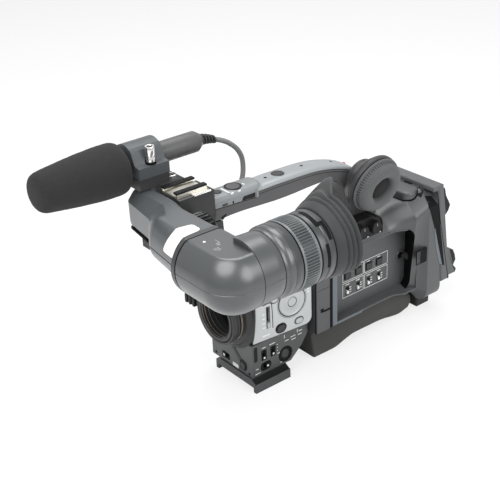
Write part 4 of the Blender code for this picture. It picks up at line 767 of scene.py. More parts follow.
def elbow_mesh():
    """The elbow's skin: arm end, round corner, flat top, and the round tube after its step."""
    angles = []
    for start in (0, 180):
        angles += [start - 0.7, start, start + 0.7]
        angles += [start + 3 + (177 - 3) * step / 60 for step in range(61)]
    angles = sorted(angle % 360 for angle in angles)
    rings = [("arm", SEAM_X + 0.3), ("arm", SEAM_X + 0.8), ("arm", 90.0)]
    rings += [("turn", 90 * step / 20) for step in range(21)]
    rings += [("tube", y) for y in (-99.0, -95.05, -95.0, -94.6, -94.5, -88.0, -80.0, -75.2, TUBE_END)]
    bm = loft([[elbow_point(kind, place, degrees) for degrees in angles] for kind, place in rings], "open")
    bmesh.ops.remove_doubles(bm, verts=bm.verts, dist=0.004)
    bmesh.ops.dissolve_degenerate(bm, edges=bm.edges, dist=0.002)
    return bm


class CAMCORDER_OT_viewfinder(bpy.types.Operator):
    """Arm, elbow, barrel, rings and eyecup of the viewfinder"""

    bl_idname = "camcorder.viewfinder"
    bl_label = "Viewfinder"

    axis = (TUBE_X, VF_Z)

    def execute(self, context):
        self.arm()
        self.window()
        self.arm_trim()
        self.elbow()
        self.barrel()
        self.collar()
        self.eyecup()
        return {"FINISHED"}

    def arm(self):
        places = [-28, -27.8, -27.4, -26.8, -26, -25.2, -24] + [-22 + 2 * step for step in range(16)]
        places += [10 + 0.8 * step for step in range(30)]
        places += [34 + 2 * step for step in range(20)] + [RIM_X]
        angles = arm_angles()
        loops = [arm_loop(x, angles) for x in places]
        for x, radius in ((RIM_X, 26.6), (72.75, 27.2), (73.1, 27.6), (77.3, 27.6), (77.65, 27.2)):
            loops.append(rim_loop(x, radius, angles))
        piece("arm_shell", loft(loops), "viewfinder", "arm_paint",
              stands_for=["viewfinder_arm"], angle=45, other=("collar_paint_and_shade", self.on_shaded_rim))

    def on_shaded_rim(self, middle):
        """True on the round rim at the arm's end, which gets the darker finish as painted shade."""
        return middle.x > RIM_X - 0.1

    def window(self):
        """Lamp window wrapped over the arm's front edge."""
        corner = 2.6
        rows = []
        for step in range(49):
            part = step / 48
            angle = math.radians(86.5 + 80 * part)
            low = 59.2 - 1.7 * ease(0, 0.42, part) - 5.4 * ease(0.4, 1.1, part)
            high = 71.6 + 0.6 * ease(0, 0.42, part) - 4.2 * ease(0.4, 1.1, part)
            short = max(corner - min(part, 1 - part) * 40, 0)
            inset = corner - math.sqrt(corner ** 2 - short ** 2)
            row = [low + inset + (high - low - 2 * inset) * across / 8 for across in range(9)]
            outer = [(x, *arm_place(x, angle, 0.55)) for x in row]
            inner = [(x, *arm_place(x, angle, 0.05)) for x in row]
            rows.append(outer + inner[::-1])
        piece("tally_lens", loft(rows), "viewfinder", "tally_window", 0.2,
              stands_for=["tally_window"], angle=60)

    def arm_trim(self):
        """Parting line along the arm's front, and the dark strip under the nose."""
        line = [(x, arm_place(x, math.pi)[0] - 0.02, VF_Z) for x in range(29, 75)]
        piece("arm_parting_line", tube(line, 0.25, 8), "viewfinder", "deep_black")
        low = 177.0
        high = 178.6
        rows = []
        for x in [-27.5 + 2.5 * step for step in range(15)]:
            front = nose_front(x)
            end = min(abs(x + 28.5), abs(x - 8.5), 3.0) / 3.0
            sunk = 1.4 * (1 - end)
            rows.append([(x, front + 0.1 + sunk, high), (x, front + 5, high),
                         (x, front + 5, low), (x, front - 0.2 + sunk, low)])
        piece("nose_strip", loft(rows), "viewfinder", "deep_black", 0.3)

    def elbow(self):
        piece("elbow_shell", elbow_mesh(), "eyepiece", "satin_paint",
              stands_for=["viewfinder_elbow"], angle=40)
        profile = [(0, 209.6), (1.1, 209.6), (1.1, 210.1), (0.9, 210.2), (0, 210.25)]
        piece("elbow_dot", turned(profile, "Z", (89, -110), 20), "eyepiece", "knob_white")
        dashes = ((91.5, -102.6, 6.0, 0.5), (97.0, -105.6, 1.0, 3.0), (99.2, -106.4, 1.0, 3.0))
        dashes += ((102.4, -108.6, 4.6, 0.7), (102.4, -110.4, 5.4, 0.7), (102.4, -112.2, 3.8, 0.7))
        marks = [((x, y, 209.6), (x + wide, y + deep, 210.06)) for x, y, wide, deep in dashes]
        piece("elbow_print", boxes(*marks), "eyepiece", "faint_print")
        seam = washer(27.2, 27.75, 77.75, 78.25)
        piece("arm_seam", self.flat_ring(seam), "viewfinder", "deep_black")

    def flat_ring(self, profile):
        """A thin ring round the arm's end that follows its flat top."""
        loops = []
        for degrees in range(0, 360, 3):
            angle = math.radians(degrees)
            loop = []
            for radius, x in profile:
                z = min(VF_Z + radius * math.sin(angle), VF_TOP - VF_R + radius)
                loop.append((x, ARM_Y + radius * math.cos(angle), z))
            loops.append(loop)
        return loft(loops, "ring")

    def barrel(self):
        profile = [(19.2, -74.1), (26.8, -74.1), (27.0, -73.6), (27.1, -72.6), (27.5, -71.5), (28.2, -70.5)]
        profile += [(28.65, -69.5), (28.8, -68.2), (28.8, -66.2), (28.55, -66.0), (28.55, -65.8)]
        profile += [(28.8, -65.6), (28.8, -59.6), (28.4, -58.9), (27.6, -58.6), (25.4, -58.6)]
        profile += [(25.4, -40.9), (19.2, -40.9)]
        piece("barrel_shell", turned(profile, "Y", self.axis, 120), "eyepiece", "satin_paint",
              stands_for=["viewfinder_barrel"], angle=30, other=("collar_paint_and_shade", self.behind_bell))
        count = sizes().focus_ribs
        profile = [(26.05, -57.9), (28.0, -57.9), (28.75, -57.4), (28.8, -56.0), (29.2, -55.5)]
        profile += [(29.2, -50.0), (29.2, -48.9), (29.2, -43.4), (28.8, -42.9), (28.75, -41.3)]
        profile += [(28.0, -40.6), (26.05, -40.6)]
        bm = turned(profile, "Y", self.axis, count * 8, comb(count, 0.42, 0.28), 0.9, (4, 5, 6, 7))
        piece("focus_grip", bm, "focus", "rib_paint", stands_for=["focus_ring"], angle=28,
              other=("collar_paint_and_shade", self.in_shaded_groove))
        # Black rings at the joins of barrel, focus ring, collar and eyecup: painted shade in the gaps between
        # them.
        gaps = bmesh.new()
        for along in (-58.25, -40.25, -25.8):
            add_turned(gaps, washer(26.2, 28.45, along - 0.55, along + 0.55), "Y", self.axis, 96)
        piece("ring_gap_shade", gaps, "eyepiece", "deep_black")

    def behind_bell(self, middle):
        """True on the barrel's darker band between its bell and the focus ring."""
        return middle.y > -66.3

    def in_shaded_groove(self, middle):
        """True at the bottom of the focus ring's grooves, which get the darker finish as painted shade."""
        away = math.hypot(middle.x - TUBE_X, middle.z - VF_Z)
        return -55.4 < middle.y < -43.5 and away < 28.75

    def collar(self):
        """Eyepiece collar with its dark notches, and the lens behind it."""
        profile = [(18.9, -39.9), (27.6, -39.9), (28.5, -39.4), (28.7, -38.8), (28.7, -34.2), (28.2, -33.9)]
        profile += [(28.0, -33.2), (28.4, -32.8), (28.8, -32.2), (28.8, -27.4), (28.4, -26.4), (27.6, -26.05)]
        profile += [(18.9, -26.05)]
        piece("eye_collar", turned(profile, "Y", self.axis, 120), "eyepiece", "collar_paint_and_shade",
              stands_for=["eyepiece_collar"], angle=30)
        bm = bmesh.new()
        notches = ((62, 98, -36.0, -32.2), (30, 63, -30.6, -27.4), (56, 63, -35.8, -27.4))
        notches += ((-12, 26, -35.4, -32.4), (150, 186, -34.6, -32.4), (250, 290, -34.4, -32.6))
        for start, end, front, rear in notches:
            outline = arc(self.axis, 28.98, start, end, 16) + arc(self.axis, 28.0, end, start, 16)
            add_prism(bm, outline, "Y", front, rear)
        piece("collar_notches", bm, "eyepiece", "deep_black", 0.15)
        dress("eyepiece_lens", "dark_glass")

    def eyecup(self):
        """Ribbed rubber cup, drawn in below, with a flap that rises on its outer side."""
        base = -25.6
        depth = 19.0
        flap_angle = 117
        flap_rise = 17.0
        flap_reach = 8.0
        drawn_in = 0.24
        outer = [(28.9, base), (29.7, -24.4), (31.0, -21.2), (32.2, -18.8), (32.4, -18.2), (31.6, -17.7)]
        outer += [(31.4, -17.2), (32.2, -16.6), (33.3, -15.8), (33.8, -15.0), (33.7, -14.4), (32.7, -13.9)]
        outer += [(32.5, -13.4), (33.3, -12.8), (34.4, -12.0), (34.9, -11.2), (34.8, -10.6), (33.8, -10.1)]
        outer += [(33.6, -9.6), (34.4, -9.0), (35.5, -8.4), (36.3, -7.7)]
        inner = [(36.4, -6.9), (35.7, -6.6), (34.6, -7.4), (32.4, -11.0), (30.2, -15.5), (28.4, -20.0)]
        inner += [(26.9, -24.0), (26.5, base)]
        segments = 144
        loops = []
        for radius, along in outer + inner:
            part = (along - base) / depth
            loop = []
            for segment in range(segments):
                angle = 2 * math.pi * segment / segments
                away = (math.degrees(angle) - flap_angle + 180) % 360 - 180
                flap = ease(21 if away > 0 else 34, 1, abs(away)) * part ** 5
                reach = radius + flap_reach * flap
                up = reach * math.sin(angle)
                if up < 0:
                    up *= 1 - drawn_in * min(max(part, 0), 1)
                loop.append((TUBE_X + reach * math.cos(angle), along + flap_rise * flap, VF_Z + up))
            loops.append(loop)
        piece("eyecup_rubber", loft(loops, "ring"), "eyepiece", "eyecup_rubber",
              stands_for=["eyecup"], angle=60)


class CAMCORDER_OT_lock_wheel(bpy.types.Operator):
    """Ribbed wheel that locks the viewfinder on its rail"""

    bl_idname = "camcorder.lock_wheel"
    bl_label = "Lock wheel"

    axis = (27.8, 183)

    def execute(self, context):
        count = sizes().wheel_ribs
        profile = [(0, -74.6), (13.8, -74.6), (14.7, -74.2), (15.0, -73.6), (15.0, -69.4), (14.9, -68.2)]
        profile += [(15.0, -67.6), (15.0, -66.4), (14.6, -64.4), (13.7, -62.6), (12.4, -61.4), (10.4, -60.9)]
        profile += [(0, -60.9)]
        bm = turned(profile, "Y", self.axis, count * 8, comb(count, 0.34, 0.2), 1.3, (2, 3, 4, 5, 6, 7))
        piece("lock_wheel_grip", bm, "lock", "body_plastic", stands_for=["viewfinder_lock_wheel"], angle=30,
              other=("deep_black", self.in_shaded_slot))
        return {"FINISHED"}

    def in_shaded_slot(self, middle):
        """True at the bottom of the wheel's grip slots, which are painted deep black as painted shade."""
        away = math.hypot(middle.x - self.axis[0], middle.z - self.axis[1])
        return -74.3 < middle.y < -63.0 and away < 14.3


class CAMCORDER_OT_microphone(bpy.types.Operator):
    """Microphone tube, foam windscreen, cable boot, holder, clamp and thumbscrew"""

    bl_idname = "camcorder.microphone"
    bl_label = "Microphone"

    axis = (-36.0, 229.7)
    foam_axis = (-36.0, 228.0)
    foam_bore = 11.3
    boot_start = -21.1
    boot_length = 15.9

    def execute(self, context):
        profile = [(0, -172), (7.4, -172), (9.2, -166), (9.2, -66.2), (9.0, -66.0), (9.0, -65.6)]
        profile += [(9.2, -65.4), (9.2, -40.4), (9.05, -40.2), (9.05, -39.9), (9.2, -39.7), (9.2, -26.4)]
        profile += [(8.9, -25.6), (6.0, -21.2), (5.6, -20.9), (0, -20.9)]
        piece("microphone_tube", turned(profile, "Y", self.axis, 96), MAIN, "microphone_paint",
              stands_for=["microphone"], angle=28)
        self.windscreen()
        self.boot()
        dress("mic_holder", "dark_plastic", 0.8)
        dress("mic_clamp_cap", "clamp_paint", 0.9, 3)
        self.screw()
        return {"FINISHED"}

    def windscreen(self):
        """Foam cover with an uneven surface and a bore for the tube."""
        front = -180.5
        rear = -100.2
        bore_end = -172.3
        route = [(0.01, -180.4), (7.5, -180.0), (12.8, -178.4), (15.8, -175.0), (17.2, -168.8)]
        route += [(18.7, -156.0), (20.4, -140.0), (21.6, -124.0), (22.0, -112.0), (21.6, -105.5)]
        route += [(19.6, -101.5), (16.2, rear)]
        profile = [(0, front)] + smooth(route, 9)[1:]
        profile += [(self.foam_bore + 0.1, rear), (self.foam_bore, rear - 0.6)]
        profile += [(self.foam_bore, bore_end), (0, bore_end)]
        bm = turned(profile, "Y", self.foam_axis, 144)
        height = sizes().foam_roughness
        for vert in bm.verts:
            out = Vector((vert.co.x - self.foam_axis[0], 0, vert.co.z - self.foam_axis[1]))
            on_skin = out.length > self.foam_bore + 0.3 or vert.co.y < -174
            if on_skin and out.length > 0.5:
                lump = noise.noise(vert.co * 0.09) * 0.9 + noise.noise(vert.co * 0.55) * 0.5
                lump += noise.noise(vert.co * 1.7) * 0.5
                vert.co += out.normalized() * lump * height
        foam = piece("foam_windscreen", bm, MAIN, "foam", stands_for=["windscreen"], angle=70)

    def boot(self):
        """Ribbed sleeve that droops with the cord: slots in four rows over a dark core."""
        profile = [(0, 0.2), (5.2, 0.2), (5.2, 1.6)]
        ribbed = []
        for index in range(4):
            start = 2.0 + index * 3.3
            wide = 5.0 - index * 0.32
            for along in (start, start + 0.2, start + 1.7, start + 1.9):
                profile.append((wide - (along - start) * 0.1, along))
            ribbed += [len(profile) - 3, len(profile) - 2]
        profile += [(3.7, 15.4), (3.2, self.boot_length), (0, self.boot_length)]

        def slots(angle):
            return min(max((abs(math.sin(angle * 2 + 0.9)) - 0.24) / 0.16, 0.0), 1.0)

        sleeve = turned(profile, "Y", (0, 0), 96, slots, 1.7, ribbed)
        core = turned([(0, 0.4), (3.45, 0.4), (2.5, 15.6), (0, 15.6)], "Y", (0, 0), 48)
        piece("cable_boot", self.drooped(sleeve), MAIN, "dark_plastic", stands_for=["mic_boot"], angle=30)
        piece("boot_core", self.drooped(core), MAIN, "deep_black", angle=30)

    def drooped(self, bm):
        """The boot's mesh at the tube's end, bent down towards the cord."""
        for vert in bm.verts:
            droop = 3.7 * (max(vert.co.y, 0) / self.boot_length) ** 1.6
            vert.co += Vector((self.axis[0], self.boot_start, self.axis[1] - droop))
        return bm

    def screw(self):
        """Clamp screw: a ribbed base with a bright cap and its six-sided socket."""
        centre = (-19.5, -81.5)
        low = 225.8
        profile = [(0, low), (4.15, low), (4.15, 231.6), (4.0, 232.2), (3.9, 232.4), (3.9, 232.9), (0, 232.9)]
        bm = turned(profile, "Z", centre, 96, comb(24, 0.5, 0.3), 0.3, (2,))
        piece("screw_base", bm, "clamp_screw", "black_plastic", stands_for=["clamp_thumbscrew"], angle=30)
        profile = [(0, 232.95), (3.7, 232.95), (3.7, 236.6), (3.55, 236.9), (3.55, 237.2), (3.9, 237.5)]
        profile += [(4.05, 238.0), (4.05, 245.3), (3.8, 245.9), (2.7, 245.9), (2.5, 245.6), (2.5, 242.6)]
        profile += [(0, 242.2)]
        piece("screw_socket", turned(profile, "Z", centre, 48), "clamp_screw", "bright_steel", angle=30)
        floor = turned(disc(2.35, 242.3, 242.9), "Z", centre, 6)
        piece("screw_socket_floor", floor, "clamp_screw", "deep_black")


class CAMCORDER_OT_cord(bpy.types.Operator):
    """Microphone cord, its plug and the input box on the far side"""

    bl_idname = "camcorder.cord"
    bl_label = "Microphone cord"

    socket = (-32.5, 161.2)

    def execute(self, context):
        route = [(-36, -5.4, 226.1), (-36, 3.8, 222.2), (-36, 10.8, 217.8), (-36, 17.8, 211.5)]
        route += [(-36, 22.2, 204.7), (-36, 24.3, 198.0), (-36, 24.6, 189.5), (-35.4, 22.4, 180.8)]
        route += [(-34.4, 16.4, 172.6), (-33.3, 8.0, 166.2), (-32.7, -2.0, 162.4), (-32.5, -9.4, 161.2)]
        points = [Vector(point) * MM for point in smooth(route, 4)]
        curve = bpy.data.curves.new("cord_jacket", "CURVE")
        curve.dimensions = "3D"
        curve.bevel_depth = 2.3 * MM
        curve.bevel_resolution = 6
        curve.use_fill_caps = True
        spline = curve.splines.new("POLY")
        spline.points.add(len(points) - 1)
        for place, point in zip(spline.points, points):
            place.co = (*point, 1)
        curve.materials.append(finish_of("cord_jacket"))
        cord = bpy.data.objects.new("cord_jacket", curve)
        context.scene.collection.objects.link(cord)
        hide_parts("mic_cord")
        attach(cord, MAIN)
        profile = [(0, -46), (9.0, -46), (9.2, -45.5), (9.2, -43.0), (8.6, -42.6), (8.6, -41.4), (9.2, -41.0)]
        profile += [(9.2, -25.0), (8.8, -24.0), (7.0, -19.0), (6.0, -18.2), (4.4, -18.0), (3.8, -14.0)]
        profile += [(3.4, -10.3), (0, -10.0)]
        plug = piece("plug_shell", turned(profile, "Y", self.socket, 48), MAIN, "bright_steel",
                     stands_for=["audio_plug"], angle=30)
        dress("audio_input_box", "dark_plastic", 1.2)
        profile = [(9.6, -46.3), (12.0, -46.3), (12.0, -45.2), (11.4, -44.6), (9.6, -44.6)]
        piece("input_socket_ring", turned(profile, "Y", self.socket, 48), MAIN, "black_plastic", angle=30)
        return {"FINISHED"}


# Handle
HANDLE_HALF = 11.5
HANDLE_FRONT = -43
SEAM_Z = 189.3
SEAM_BEND = 29
SEAM_END = 133
SEAM_GAP = 0.3


def handle_seam():
    """Seam between the handle's grip and its top cover, front to rear."""
    points = [(y, SEAM_Z) for y in (HANDLE_FRONT, 0, 12, SEAM_BEND)]
    for along, down in ((0.285, 0.028), (0.459, 0.088), (0.635, 0.23),
                        (0.798, 0.449), (0.913, 0.717), (1, 1)):
        points.append((SEAM_BEND + (SEAM_END - SEAM_BEND) * along, SEAM_Z - 28.3 * down))
    return smooth(points, 6)


def plate_end(x):
    """Y of the round tongue in which the raised front plate ends."""
    return 2.0 + 8.0 * math.sqrt(max(1 - (x / HANDLE_HALF) ** 2, 0))


def handle_rise(y, x=0.0):
    """Height of the top cover over the seam, with its raised front plate."""
    hump = 0.5 - 0.5 * math.tanh((y - plate_end(x)) / 1.1)
    tail = share(SEAM_END, SEAM_END - 20, y)
    return 1.25 + 2.5 * tail + 3.0 * hump


def handle_crown(y):
    """Height of the top cover along its middle."""
    seam = handle_seam()
    for (low, low_z), (high, high_z) in zip(seam, seam[1:]):
        if low <= y <= high:
            return low_z + (high_z - low_z) * (y - low) / (high - low) + SEAM_GAP + handle_rise(y)
    raise ValueError("the place lies off the handle")


def over_crown(y, profile):
    """A profile whose heights count from the cover's crown."""
    crown = handle_crown(y)
    return [(radius, crown + height) for radius, height in profile]


def pierced(bm, cutter):
    """The mesh with the cutter taken out of it."""
    solid = bpy.data.objects.new("solid", mesh_of("solid", bm))
    tool = bpy.data.objects.new("tool", mesh_of("tool", cutter))
    for obj in (solid, tool):
        bpy.context.scene.collection.objects.link(obj)
    modifier = solid.modifiers.new("cut", "BOOLEAN")
    modifier.operation = "DIFFERENCE"
    modifier.solver = "EXACT"
    modifier.object = tool
    seen = solid.evaluated_get(bpy.context.evaluated_depsgraph_get())
    result = bmesh.new()
    result.from_mesh(seen.to_mesh())
    seen.to_mesh_clear()
    bmesh.ops.scale(result, vec=(1 / MM, 1 / MM, 1 / MM), verts=result.verts)
    for obj in (solid, tool):
        mesh = obj.data
        bpy.data.objects.remove(obj)
        bpy.data.meshes.remove(mesh)
    return result


class CAMCORDER_OT_handle(bpy.types.Operator):
    """Carrying handle with its cover, buttons, front block and accessory shoe"""

    bl_idname = "camcorder.handle"
    bl_label = "Handle"

    record_y = -15.0
    small_y = -31.9
    round_y = 34.5

    def execute(self, context):
        self.grip()
        self.cover()
        self.side_fittings()
        self.keys()
        self.cover_trim()
        dress("handle_front_block", "dark_plastic", 0.9)
        self.shoe()
        self.screws()
        return {"FINISHED"}

    def grip(self):
        """Grip between its seam and its underside, with a fine groove along both sides."""
        foot = 122.3
        rise = 53.2
        reach = 151
        shape = ((0, 1.009), (0.175, 1.021), (0.474, 0.979), (0.711, 0.994), (0.815, 0.987), (0.907, 0.897))
        shape += ((0.970, 0.709), (0.993, 0.427), (1, 0))
        under = [(HANDLE_FRONT + reach * along, foot + rise * up) for along, up in shape]
        heel = smooth([(146, foot), (145, 140), (140, 153), (133, 161)], 4)[:-1]
        seam = handle_seam()
        outline = smooth(under, 6) + heel + seam[::-1]
        piece("grip_shell", prism(outline, "X", -HANDLE_HALF, HANDLE_HALF), MAIN, "grip_plastic", 1.6, 3,
              stands_for=["handle_grip"])
        bm = bmesh.new()
        for side in (-1, 1):
            outside = side * 11.56
            inside = side * 11.2
            rows = []
            for y, z in seam[7:-3]:
                low = z - 2.5 - 0.22
                high = z - 2.5 + 0.22
                rows.append([(outside, y, low), (outside, y, high), (inside, y, high), (inside, y, low)])
            add_loft(bm, rows)
        piece("grip_line", bm, MAIN, "deep_black")

    def cover(self):
        edge = 0.9
        seam = handle_seam()
        fine = []
        for (low, low_z), (high, high_z) in zip(seam, seam[1:]):
            for part in (0, 0.25, 0.5, 0.75):
                fine.append((low + (high - low) * part, low_z + (high_z - low_z) * part))
        sections = []
        for y, z in fine:
            low = z + SEAM_GAP
            loop = [(-HANDLE_HALF, y, low), (HANDLE_HALF, y, low)]
            for step in range(41):
                across = 1 - step / 20
                round_off = max(1 - abs(across) ** 4.5, 0.0) ** 0.5
                rise = handle_rise(y, HANDLE_HALF * across)
                loop.append((HANDLE_HALF * across, y, low + edge + (rise - edge) * round_off))
            sections.append(loop)
        holes = bmesh.new()
        for y, radius in ((self.record_y, 6.7), (self.small_y, 4.3), (self.round_y, 6.1)):
            add_turned(holes, over_crown(y, disc(radius, -2.6, 2)), "Z", (0, y), 64)
        piece("handle_cover", pierced(loft(sections), holes), MAIN, "handle_silver",
              stands_for=["handle_top_cover"], angle=40, other=("handle_plate", self.on_plate))

    def on_plate(self, middle):
        """True on the raised front plate."""
        return middle.y < plate_end(middle.x)

    def side_fittings(self):
        """Panels, slot, clip and fin on the handle's left side, below the raised plate."""
        panel = rounded([(-42.6, 187.6), (0.4, 185.4), (0.4, 190.4), (-42.6, 190.4)], 0.8)
        piece("plate_side", prism(panel, "X", 11.2, 11.8), MAIN, "handle_plate", 0.25)
        dark = rounded([(-15.0, 186.4), (-0.2, 185.7), (-0.2, 190.1), (-13.0, 190.1)], 1.0)
        piece("plate_recess", prism(dark, "X", 11.6, 11.9), MAIN, "black_plastic", 0.1)
        line = [(-42.4, 186.9), (0.6, 184.7), (0.6, 185.2), (-42.4, 187.4)]
        piece("plate_line", prism(line, "X", 11.3, 11.6), MAIN, "deep_black")
        slot = panel_of((-24.7, 186.9), (-23.3, 189.4), 0.6)
        piece("plate_slot", prism(slot, "X", 11.6, 11.9), MAIN, "deep_black")
        oval = panel_of((-35.6, 187.6), (-29.6, 189.7), 1.0)
        piece("plate_oval", prism(oval, "X", 11.6, 11.88), MAIN, "dark_plastic", 0.1)
        clip = panel_of((0.8, 184.6), (3.4, 192.6), 1.2)
        piece("plate_clip", prism(clip, "X", 11.2, 12.1), MAIN, "handle_plate", 0.4, 3)
        fin = rounded([(-37.2, 178.6), (-31.2, 180.2), (-31.8, 178.6), (-35.4, 175.4), (-37.0, 176.4)], 0.5)
        piece("plate_fin", prism(fin, "X", 10.4, 11.6), MAIN, "black_plastic", 0.3)

    def keys(self):
        """Round push buttons in the cover's holes; heights count from the crown."""
        profile = [(0, -1.6), (6.2, -1.6), (6.2, -0.1), (5.9, 0.35), (5.2, 0.5), (4.6, 0.35), (0, 0.05)]
        self.key("record_key", self.record_y, profile, 64, "grip_plastic", "handle_record_button")
        ring = [(6.4, -0.6), (7.8, -0.6), (7.8, 0.12), (7.4, 0.3), (6.4, 0.3)]
        bm = turned(over_crown(self.record_y, ring), "Z", (0, self.record_y), 64)
        piece("record_key_ring", bm, MAIN, "black_plastic", angle=30)
        crown = handle_crown(self.record_y)
        flat = (crown - 0.3, crown + 0.07)
        side = (crown - 2.0, crown - 0.55)
        dashes = [((-3.2, -26.0), (8.6, -24.6), flat), ((1.0, -6.2), (4.2, -5.0), flat)]
        dashes += [((9.0, -24.4), (9.9, -21.6), side), ((9.0, -16.8), (9.9, -14.0), side)]
        marks = [((*low, heights[0]), (*high, heights[1])) for low, high, heights in dashes]
        piece("plate_print", boxes(*marks), MAIN, "pale_print")
        profile = [(0, -1.6), (3.8, -1.6), (3.8, 0.1), (3.5, 0.5), (2.8, 0.6), (0, 0.6)]
        self.key("small_key", self.small_y, profile, 48, "dark_plastic", "handle_small_button")
        profile = [(0, -1.6), (5.6, -1.6), (5.6, 0.1), (5.3, 0.5), (4.7, 0.6), (4.4, 0.35), (4.0, 0.35)]
        profile += [(3.7, 0.55), (0, 0.6)]
        self.key("round_key", self.round_y, profile, 64, "dark_plastic", "handle_round_button")

    def key(self, name, y, profile, segments, finish, node):
        bm = turned(over_crown(y, profile), "Z", (0, y), segments)
        piece(name, bm, "handle_" + name, finish, stands_for=[node], angle=30)

    def cover_trim(self):
        """Screws and the rear lamp in the cover."""
        bm = bmesh.new()
        for y in (20.6, 62.0, 97.0):
            add_turned(bm, over_crown(y, disc(1.5, -0.5, 0.08)), "Z", (0, y), 24)
        piece("cover_screws", bm, MAIN, "deep_black", 0.1)
        profile = [(0, -0.8), (1.7, -0.8), (1.7, 0.4), (1.1, 1.0), (0, 1.2)]
        bm = turned(over_crown(117, profile), "Z", (-3.5, 117), 24)
        piece("rear_lamp", bm, MAIN, "red_lamp", angle=30)

    def shoe(self):
        """Accessory shoe with its spring, rails and ribbed tab."""
        dress("accessory_shoe", "shoe_steel", 0.25)
        left = -9.6
        right = 6.2
        rows = []
        for step in range(21):
            part = step / 20
            y = -77 + 28 * part
            lift = 0.35 * math.sin(math.pi * part) ** 2
            low = 208.35 + lift
            high = 208.75 + lift
            rows.append([(left, y, low), (right, y, low), (right, y, high), (left, y, high)])
        piece("shoe_spring", loft(rows), MAIN, "shoe_steel", 0.1)
        rails = boxes(((-12.7, -78.2, 210.3), (-7.8, -47.8, 212.1)),
                      ((4.4, -78.2, 210.3), (9.3, -47.8, 212.1)))
        piece("shoe_rails", rails, MAIN, "black_plastic", 0.3)
        tab = [((9.5, -64, 206.55), (13.8, -47, 207.3))]
        for step in range(11):
            low = -63.4 + step * 1.5
            tab.append(((9.8, low, 207.2), (13.7, low + 0.8, 207.9)))
        piece("shoe_tab", boxes(*tab), MAIN, "bright_steel", 0.15)

    def screws(self):
        """Screw on the microphone's holder, and the bolt behind the shoe."""
        profile = [(0, 212.0), (4.4, 212.0), (4.4, 213.6), (4.0, 214.1), (0, 214.1)]
        bm = turned(profile, "Z", (-23.7, -60.5), 96, comb(32, 0.5, 0.3), 0.25, (1, 2))
        piece("holder_screw", bm, MAIN, "bright_steel", angle=30)
        slot = boxes(((-27.2, -61.0, 213.9), (-20.2, -60.0, 214.16)))
        piece("holder_screw_slot", slot, MAIN, "deep_black")
        profile = [(0, -47.6), (5.6, -47.6), (5.6, -44.6), (5.2, -43.8), (0, -43.8)]
        bm = turned(profile, "Y", (0, 197.5), 96, comb(28, 0.5, 0.3), 0.3, (1, 2))
        piece("handle_bolt", bm, MAIN, "bright_steel", angle=30)


